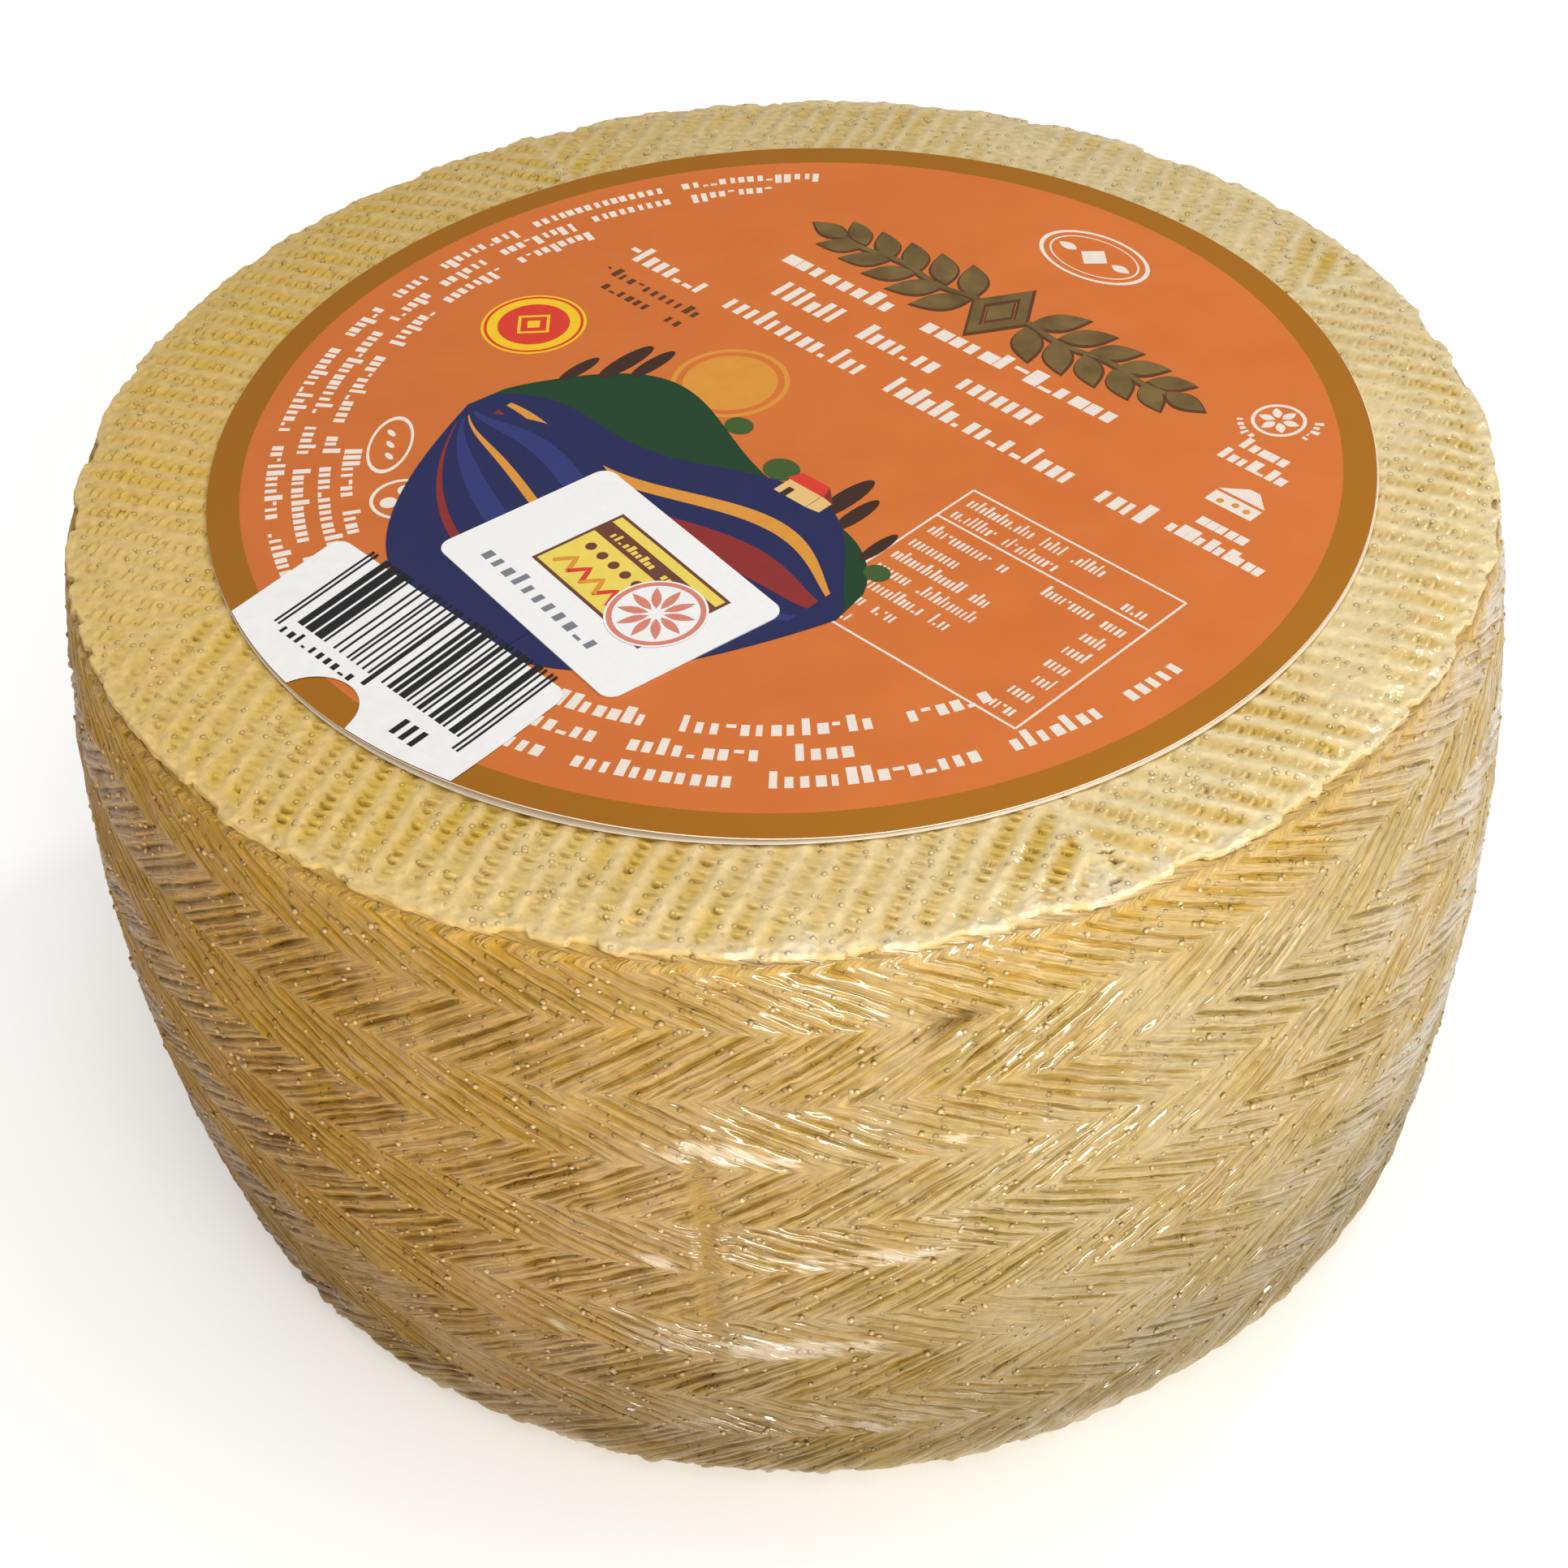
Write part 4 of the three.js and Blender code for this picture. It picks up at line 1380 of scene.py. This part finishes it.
def drawLandscape(ink):
    # Hills with ploughed bands, cypresses, a farmhouse and the sun. The ground ends below in a bowl-shaped
    # curve and comes to a point at both sides
    def bowl(x):
        away = np.abs((x - landscape["middle"]) / landscape["half"])
        return landscape["bottom"] + (landscape["side"] - landscape["bottom"]) * away ** 3

    def crest(height, swing, place, length):
        def line(x):
            away = np.abs((x - landscape["middle"]) / landscape["half"])
            level = height + swing * np.cos((x - place) / length)
            return bowl(x) + (level - bowl(x)) * np.sqrt(np.clip(1 - away ** 5, 0, 1))
        return line

    def band(lower, upper, low, high, name, layer, start=0.0, end=1.0):
        x = landscape["middle"] + landscape["half"] * (2 * np.linspace(start, end, 70) - 1)
        share = np.linspace(high, low, 2 + int(26 * (high - low)))[:, None]
        y = lower(x) * (1 - share) + upper(x) * share
        ink.field(designed(np.stack([np.broadcast_to(x, y.shape), y], -1)), name, layer)

    far = crest(-3.5, 4.2, -24, 10.5)
    middle = crest(-9.5, 4.0, 12, 9.0)
    near = crest(-22, 6.0, -30, 14.0)
    ink.field(designed(ring((-15.5, 4.6), 6.4)), "ochre", 1, True)
    ink.field(designed(ring((-15.5, 4.6), 8.0, 7.3)), "ochre", 1, True)
    band(bowl, far, 0.4, 1, "darkGreen", 2)
    band(bowl, middle, 0, 1, "navy", 3)
    for low, high, name in ((0.8, 0.85, "ochre"), (0.6, 0.72, "wine"), (0.4, 0.48, "slate")):
        band(bowl, middle, low, high, name, 4, 0.06, 0.94)
    band(bowl, near, 0, 1, "navy", 5, 0.0, 0.62)
    ploughed = [(0.8, 0.9, "slate"), (0.64, 0.68, "ochre"), (0.44, 0.54, "slate"), (0.28, 0.32, "wine")]
    for low, high, name in ploughed:
        band(bowl, near, low, high, name, 6, 0.03, 0.6)
    for x, size in ((-33.0, 0.8), (-29.5, 1.1), (-26.4, 0.9), (14.0, 1.2), (17.4, 0.9), (24.0, 0.75)):
        y = float(far(np.array(x))) + 3.4 * size
        ink.field(designed(ring((x, y), 1.25 * size, 0.04, 20, 3.6)), "darkBrown", 3, True)
    for x, size in ((3.5, 1.0), (-7.5, 0.8), (27.4, 0.7)):
        y = float(far(np.array(x))) + 2.4 * size
        ink.field(designed(ring((x, y), 2.6 * size, 0.04, 24, 0.85)), "leafGreen", 3, True)
    house = (8.6, float(far(np.array(8.6))) - 0.6)
    walls = [(-2.8, 0), (2.8, 0), (2.8, 3.0), (-2.8, 3.0)]
    gable = [(2.9, 0), (4.9, 0.3), (4.9, 2.6), (2.9, 3.0)]
    roof = [(-3.3, 2.9), (3.2, 2.9), (2.3, 5.0), (-2.4, 5.0)]
    shadedRoof = [(3.1, 2.9), (5.3, 2.5), (2.4, 4.9), (2.3, 5.0)]
    door = [(-1.7, 0), (-0.7, 0), (-0.7, 1.7), (-1.7, 1.7)]
    parts = [([walls, gable], "sand", 4), ([roof], "scarlet", 4), ([shadedRoof], "wine", 4),
             ([door], "darkBrown", 5)]
    for corners, name, layer in parts:
        ink.patches(designed(np.array(corners) + house), name, layer)


barPanel = {
    "innerStart": (-56.9, -15.1),
    "innerEnd": (-27.5, -48.1),
    "outwards": 228.5,  # direction of its short sides and its bars
    "corner": 2.0,
    "biteCentre": (-58.0, -48.3),
    "biteRadius": 5.9,
    "barsStart": (-52.5, -18.5),
    "barsLength": 35.5,
    "barsDirection": -48.3,
    "barHeight": 15.2,
    "guardHeight": 17.0,
    "modules": 95,
}


def drawBarPanel(ink):
    # White panel out to the label's edge with a half-round bite, and bars of 1 to 4 modules
    outwards = math.radians(barPanel["outwards"])
    away = np.array([math.cos(outwards), math.sin(outwards)])
    share = np.linspace(0, 1, 120)[:, None]
    start = np.array(barPanel["innerStart"]) * (1 - share) + np.array(barPanel["innerEnd"]) * share
    width = np.linalg.norm(np.subtract(barPanel["innerEnd"], barPanel["innerStart"]))
    fromEnd = np.minimum(share, 1 - share) * width
    missing = np.clip(1 - fromEnd / barPanel["corner"], 0, 1)
    start = start + away * barPanel["corner"] * (1 - np.sqrt(1 - missing ** 2))

    def reachTo(centre, radius, nearest):
        # Distance along the short side's direction to a circle, or far away where it misses
        offset = start - centre
        half = offset @ away
        inside = half ** 2 - (offset ** 2).sum(axis=1) + radius ** 2
        root = np.sqrt(np.maximum(inside, 0))
        return np.where(inside > 0, -half - root if nearest else -half + root, 1e3)

    reach = np.minimum(reachTo(np.zeros(2), label["radius"] - 0.06, False),
                       reachTo(np.array(barPanel["biteCentre"]), barPanel["biteRadius"], True))
    down = np.linspace(0, 1, 22)[:, None, None]
    ink.field(start + down * reach[:, None] * away, "panelWhite", 7)

    draw = np.random.default_rng(82)
    steps = np.concatenate([[1, 1, 1], draw.choice([1, 2, 3, 4], 70, p=[0.5, 0.28, 0.14, 0.08])])
    edges = np.cumsum(steps)
    modules = barPanel["modules"]
    edges = np.concatenate([[0], edges[edges < modules - 3], modules - np.array([3, 2, 1, 0])])
    module = barPanel["barsLength"] / modules
    lefts = edges[0:-1:2]
    rights = edges[1::2]
    direction = math.radians(barPanel["barsDirection"])
    along = np.array([math.cos(direction), math.sin(direction)])
    for left, right in zip(lefts, rights):
        guard = left < 3 or right > modules - 4 or abs(left - modules / 2) < 2.2
        height = barPanel["guardHeight"] if guard else barPanel["barHeight"]
        side = np.array([left, right])[:, None, None] * module * along
        down = np.linspace(0, height, 13)[:, None] * away
        ink.field(np.array(barPanel["barsStart"]) + side + down, "black", 8)
    for number in range(3):
        middle = np.array((-43.9, -54.0)) + number * 1.7 * along * (-1)
        ink.field(stroke(straight(middle, middle + 2.9 * away, 4), 0.42), "black", 8)

    def underBars(shift):
        origin = np.array(barPanel["barsStart"]) + (barPanel["barHeight"] + 0.7) * away + shift * along
        return lambda alongLine, up: origin + alongLine[..., None] * along + (1.9 - up)[..., None] * away
    ink.patches(dashes(underBars(2.0), 15, 1.7, 501, 0.5, 0.85), "black", 8)


sticker = {
    "centre": (-23.2, -26.6),
    "length": 38.5,
    "width": 26.0,
    "turn": -55.5,
    "corner": 2.0,
    "thickness": 0.18,
    "layer": 12,  # its upper side is this many ink layers above the label
}


def onSticker(points):
    return turned(points, sticker["turn"], sticker["centre"])


def drawStickerSheet(sheet):
    # Rectangle with round corners: rows along it, shorter near both long sides by a corner's quarter circle
    turn = np.linspace(0, math.pi / 2, 8)
    half = sticker["width"] / 2
    side = half - sticker["corner"] * (1 - np.sin(turn))
    across = np.concatenate([-side[::-1], np.linspace(-side[0], side[0], 22)[1:-1], side])
    beyond = np.clip(np.abs(across) - (half - sticker["corner"]), 0, sticker["corner"])
    reach = sticker["length"] / 2 - sticker["corner"] + np.sqrt(sticker["corner"] ** 2 - beyond ** 2)
    along = np.linspace(-1, 1, 40)[None, :] * reach[:, None]
    across = np.broadcast_to(across[:, None], along.shape)
    sheet.field(onSticker(np.stack([along, across], -1)), "paperWhite", sticker["layer"])


def drawStickerPrint(ink):
    # A rose ring with petals, a framed yellow field with cocoa chevrons, and a line of grey dashes
    def box(left, low, right, high, name, layer):
        x = np.linspace(left, right, 2 + int((right - left) / 2))
        y = np.linspace(high, low, 2 + int((high - low) / 2))[:, None]
        points = np.stack(np.broadcast_arrays(x[None, :], y), -1)
        ink.field(onSticker(points), name, layer)

    box(-9.6, -4.9, 13.6, 8.9, "cocoa", 13)
    box(-9.1, -4.4, 13.1, 8.4, "paleYellow", 14)
    box(-9.1, 4.2, 13.1, 6.9, "cocoa", 15)
    for number in range(6):
        x = -7.4 + 2.9 * number
        chevron = np.array([(x, -3.2), (x + 1.6, -0.6), (x + 3.2, -3.2)])
        line = np.concatenate([straight(chevron[0], chevron[1], 5), straight(chevron[1], chevron[2], 5)[1:]])
        ink.field(onSticker(stroke(line, 0.36)), "scarlet" if number % 2 else "ochre", 15)
    for number in range(5):
        ink.field(onSticker(ring((-6.6 + 2.5 * number, 2.0), 0.75, 0.04, 16)), "cocoa", 15, True)
    ink.patches(onSticker(dashesFlat(-6.8, 4.9, 13, 1.3, 610)), "paleYellow", 16)
    centre = (9.6, 0.6)
    ink.field(onSticker(ring(centre, 6.4)), "paperWhite", 17, True)
    ink.field(onSticker(ring(centre, 6.1, 5.4)), "rose", 18, True)
    for petal in rosette(centre, 5.0, 10, 1.25):
        ink.field(onSticker(petal), "rose", 18)
    ink.patches(onSticker(dashesFlat(-14.0, -9.6, 27, 2.4, 611, 0.5, 0.95)), "grey", 13)


def dashesFlat(x, y, length, height, seed, weight=0.6, pitch=0.7):
    return dashes(lambda along, up: np.stack([x + along, y + up], -1), length, height, seed, weight, pitch)


def inkFilm(ink, thickness):
    # Closed film over all fields: the upper side follows the paper, and walls run down the free edges
    flat = np.concatenate(ink.points)
    quads = np.concatenate(ink.quads)
    layers = np.concatenate(ink.layers)
    colours = np.concatenate(ink.colours)
    top = labelTop(flat[:, 0], flat[:, 1]) + label["inkLayer"] * layers
    points = np.concatenate([np.column_stack([flat, top]), np.column_stack([flat, top - thickness])])
    count = len(flat)
    a = flat[quads[:, 0]]
    b = flat[quads[:, 1]]
    c = flat[quads[:, 2]]
    d = flat[quads[:, 3]]
    facing = (c[:, 0] - a[:, 0]) * (d[:, 1] - b[:, 1]) - (c[:, 1] - a[:, 1]) * (d[:, 0] - b[:, 0])
    quads = np.where(facing[:, None] < 0, quads[:, ::-1], quads)
    edges = np.stack([quads, np.roll(quads, -1, axis=1)], -1).reshape(-1, 2)
    forward = edges[:, 0] * (count + 1) + edges[:, 1]
    backward = edges[:, 1] * (count + 1) + edges[:, 0]
    free = edges[~np.isin(forward, backward)]
    walls = np.stack([free[:, 1], free[:, 0], free[:, 0] + count, free[:, 1] + count], -1)
    mesh = newMesh(ink.name, points + (label["centre"][0], label["centre"][1], 0),
                   np.concatenate([quads, quads[:, ::-1] + count, walls]))
    mesh.polygons.foreach_set("use_smooth", np.zeros(len(mesh.polygons), bool))
    attribute = mesh.attributes.new("ink", "FLOAT_COLOR", "POINT")
    attribute.data.foreach_set("color", np.tile(colours, (2, 1)).astype(np.float32).ravel())
    return mesh


def buildPrint(inkMaterial, foilMaterial, stickerMaterial):
    ink = Print("labelPrint")
    foil = Print("titleFoil")
    drawTitle(foil, ink)
    drawMarks(ink)
    drawTable(ink)
    drawLines(ink)
    drawLandscape(ink)
    drawBarPanel(ink)
    addPiece(ink.name, inkFilm(ink, 0.03), "label_paper", [inkMaterial])
    addPiece(foil.name, inkFilm(foil, 0.03), "label_paper", [foilMaterial])
    sheet = Print("paperSticker")
    drawStickerSheet(sheet)
    film = inkFilm(sheet, sticker["thickness"])
    addPiece(sheet.name, film, "sticker_paper", [stickerMaterial], "paper_sticker")
    stickerInk = Print("stickerPrint")
    drawStickerPrint(stickerInk)
    addPiece(stickerInk.name, inkFilm(stickerInk, 0.03), "sticker_paper", [inkMaterial])
    print("print done, faces", sum(len(quads) for quads in ink.quads))


# Materials of the papers and inks

# Colours as pairs of the darker and the lighter one, and scales of noise in cells for each metre
paperLook = {
    "orange": ("#CE6A27", "#DC7832"),
    "bronzeRing": "#B37214",
    "foil": ("#6E5630", "#C0A266"),
    "printMottle": 110.0,
    "inkMottle": 400.0,
    "foilWaves": 260.0,
    "stockFibres": 1500.0,
}


def paperStart(name, scale, detail):
    # A material with its place in the object's frame and one noise
    material, tree = newMaterial(name)
    place = addNode(tree, "TexCoord", output="Object")
    noise = addNode(tree, "TexNoise", {"Vector": place, "Scale": scale, "Detail": detail})
    return material, tree, place, noise


def paperBump(tree, place, size, strength):
    # Fibres of the paper as a fine noise
    fibres = addNode(tree, "TexNoise", {"Vector": place, "Scale": 1 / (size * millimetre), "Detail": 3.0})
    return layBumps(tree, [(fibres, strength, 0.04)])


def varnishedLabelPaper():
    # Coated label paper, offset printed in a warm orange with a ring of bronze ink, under a satin varnish:
    # a soft even sheen, with the ring a little metallic
    material, tree, place, mottle = paperStart("varnishedLabelPaper", paperLook["printMottle"], 5.0)
    bronze = addNode(tree, "Attribute", output="Fac", attribute_name="bronzeRing")
    darker, lighter = paperLook["orange"]
    colour = layColours(tree, darker, [(mottle, 1, lighter), (bronze, 1, paperLook["bronzeRing"])])
    # Painted light: the print is painted darker on the left and lighter on the right, over the label's width
    across = addNode(tree, "SeparateXYZ", {0: place})
    paintedLabelLight = addNode(tree, "MapRange", {0: across, 1: -0.07, 2: 0.07, 3: 0.92, 4: 1.05})
    finishMaterial(tree, {
        "Base Color": shaded(tree, colour, paintedLabelLight),
        "Metallic": addNode(tree, "Math", {0: bronze, 1: 0.45}, operation="MULTIPLY"),
        "Roughness": addNode(tree, "MapRange", {0: mottle, 3: 0.36, 4: 0.46}),
        "Specular IOR Level": 0.3,
        "Normal": paperBump(tree, place, 0.4, 0.15),
    })
    return material


def offsetInk():
    # Offset printing inks under the same satin varnish, slightly mottled where the paper takes them unevenly
    material, tree, place, mottle = paperStart("offsetInkUnderVarnish", paperLook["inkMottle"], 4.0)
    own = addNode(tree, "Attribute", output="Color", attribute_name="ink")
    light = addNode(tree, "MapRange", {0: mottle, 3: 0.9, 4: 1.05})
    finishMaterial(tree, {
        "Base Color": shaded(tree, own, light),
        "Roughness": 0.4,
        "Specular IOR Level": 0.3,
        "Normal": paperBump(tree, place, 0.4, 0.15),
    })
    return material


def hotFoil():
    # Hot-stamped bronze foil: metallic, with the faint waves of the paper below
    material, tree, place, waves = paperStart("hotStampedBronzeFoil", paperLook["foilWaves"], 3.0)
    darker, lighter = paperLook["foil"]
    finishMaterial(tree, {
        "Base Color": layColours(tree, darker, [(waves, 1, lighter)]),
        "Metallic": 0.9,
        "Roughness": 0.32,
        "Normal": paperBump(tree, place, 1.2, 0.4),
    })
    return material


def barePaper(name, hexColour, roughness):
    # Uncoated paper stock, as at a cut edge or on a plain sticker: matt, with fibres of 0.3 mm
    material, tree, place, fibres = paperStart(name, paperLook["stockFibres"], 4.0)
    light = linearColour(hexColour)
    dark = tuple(0.93 * value for value in light[:3]) + (1.0,)
    finishMaterial(tree, {
        "Base Color": layColours(tree, dark, [(fibres, 1, light)]),
        "Roughness": roughness,
        "Normal": paperBump(tree, place, 0.3, 0.3),
    })
    return material


# Floor, light and camera

studio = {
    "floor": "#FDFCFA",
    "floorSize": 8.0,  # in metres
    "floorHeight": -0.02,
    "floorGlow": 0.2,  # a white light table
    "worldBrightest": 0.44,
    "worldDarkest": 0.12,
    "brightSide": (0.75, -0.15, 0.64),
    "camera": (-1.6, -308.2, 321.0),
    "lookDown": 42.05,
    "roll": -3.17,
    "focalLength": 66.57,
    "sensor": 36.0,
}

# Area lights: name, place in millimetres, point aimed at, width, height and power in watts
lights = [
    ("lowWindow", (170, -735, 95), (0, 0, 60), 250, 95, 3.0),
    ("sideWindow", (480, -580, 110), (0, 0, 60), 200, 110, 0.7),
    ("windowFront", (220, -780, 640), (0, 0, 60), 500, 400, 2.5),
    ("ceiling", (60, 150, 1600), (0, 0, 0), 2600, 2200, 16.8),
    ("lamp", (420, 330, 720), (0, 0, 100), 70, 70, 0.9),
]


def buildStudio():
    scene = bpy.context.scene
    scene.view_settings.view_transform = "Standard"
    half = studio["floorSize"] / 2 / millimetre
    square = np.array([(-1, -1), (1, -1), (1, 1), (-1, 1)]) * half
    corners = np.column_stack([square, np.full(4, studio["floorHeight"])])
    floorMesh = newMesh("floor", corners, np.array([[0, 1, 2, 3]]))
    floor = bpy.data.objects.new("floor", floorMesh)
    scene.collection.objects.link(floor)
    material, tree = newMaterial("paintedBoard")
    finishMaterial(tree, {
        "Base Color": studio["floor"],
        "Roughness": 0.9,
        "Emission Color": (1.0, 1.0, 1.0, 1.0),
        "Emission Strength": studio["floorGlow"],
    })
    floorMesh.materials.append(material)

    world = bpy.data.worlds.new("studioWorld")
    world.use_nodes = True
    sky = world.node_tree
    background = sky.nodes["Background"]
    background.inputs["Color"].default_value = (1.0, 0.99, 0.97, 1.0)
    # The room is brighter above and to the right: by the direction's share along the bright side
    direction = addNode(sky, "TexCoord", output="Generated")
    towards = addNode(sky, "VectorMath", {0: direction, 1: studio["brightSide"]}, "Value",
                      operation="DOT_PRODUCT")
    levels = {0: towards, 1: -0.8, 2: 0.9, 3: studio["worldDarkest"], 4: studio["worldBrightest"]}
    sky.links.new(addNode(sky, "MapRange", levels), background.inputs["Strength"])
    scene.world = world

    for name, place, aim, width, height, power in lights:
        lamp = bpy.data.lights.new(name, "AREA")
        lamp.shape = "RECTANGLE"
        lamp.size = width * millimetre
        lamp.size_y = height * millimetre
        lamp.energy = power
        holder = bpy.data.objects.new(name, lamp)
        scene.collection.objects.link(holder)
        away = np.array(place, float) - np.array(aim, float)
        away = away / np.linalg.norm(away)
        right = np.cross((0, 0, 1), away)
        right = right / np.linalg.norm(right)
        up = np.cross(away, right)
        columns = np.column_stack([right, up, away, np.array(place) * millimetre])
        holder.matrix_world = Matrix([*columns.tolist(), (0, 0, 0, 1)])

    cameraData = bpy.data.cameras.new("camera")
    cameraData.lens = studio["focalLength"]
    cameraData.sensor_width = studio["sensor"]
    cameraData.clip_start = 0.01
    camera = bpy.data.objects.new("camera", cameraData)
    scene.collection.objects.link(camera)
    tilt = Matrix.Rotation(math.radians(90 - studio["lookDown"]), 4, "X")
    roll = Matrix.Rotation(math.radians(studio["roll"]), 4, "Z")
    place = Matrix.Translation([value * millimetre for value in studio["camera"]])
    camera.matrix_world = place @ tilt @ roll
    scene.camera = camera


buildStudio()
rindMaterial = cheeseRind()
rindPoints, rindNormals, pointMarks, upperRows, sideRows = buildRind(rindMaterial)
buildPimples(rindMaterial, rindPoints, rindNormals, pointMarks, upperRows, sideRows)
buildUndersideDisc(rindMaterial)
buildLabel(varnishedLabelPaper(), barePaper("cutPaperEdge", "#EFE0C8", 0.75))
buildPrint(offsetInk(), hotFoil(), barePaper("mattStickerPaper", "#F7F5F2", 0.55))
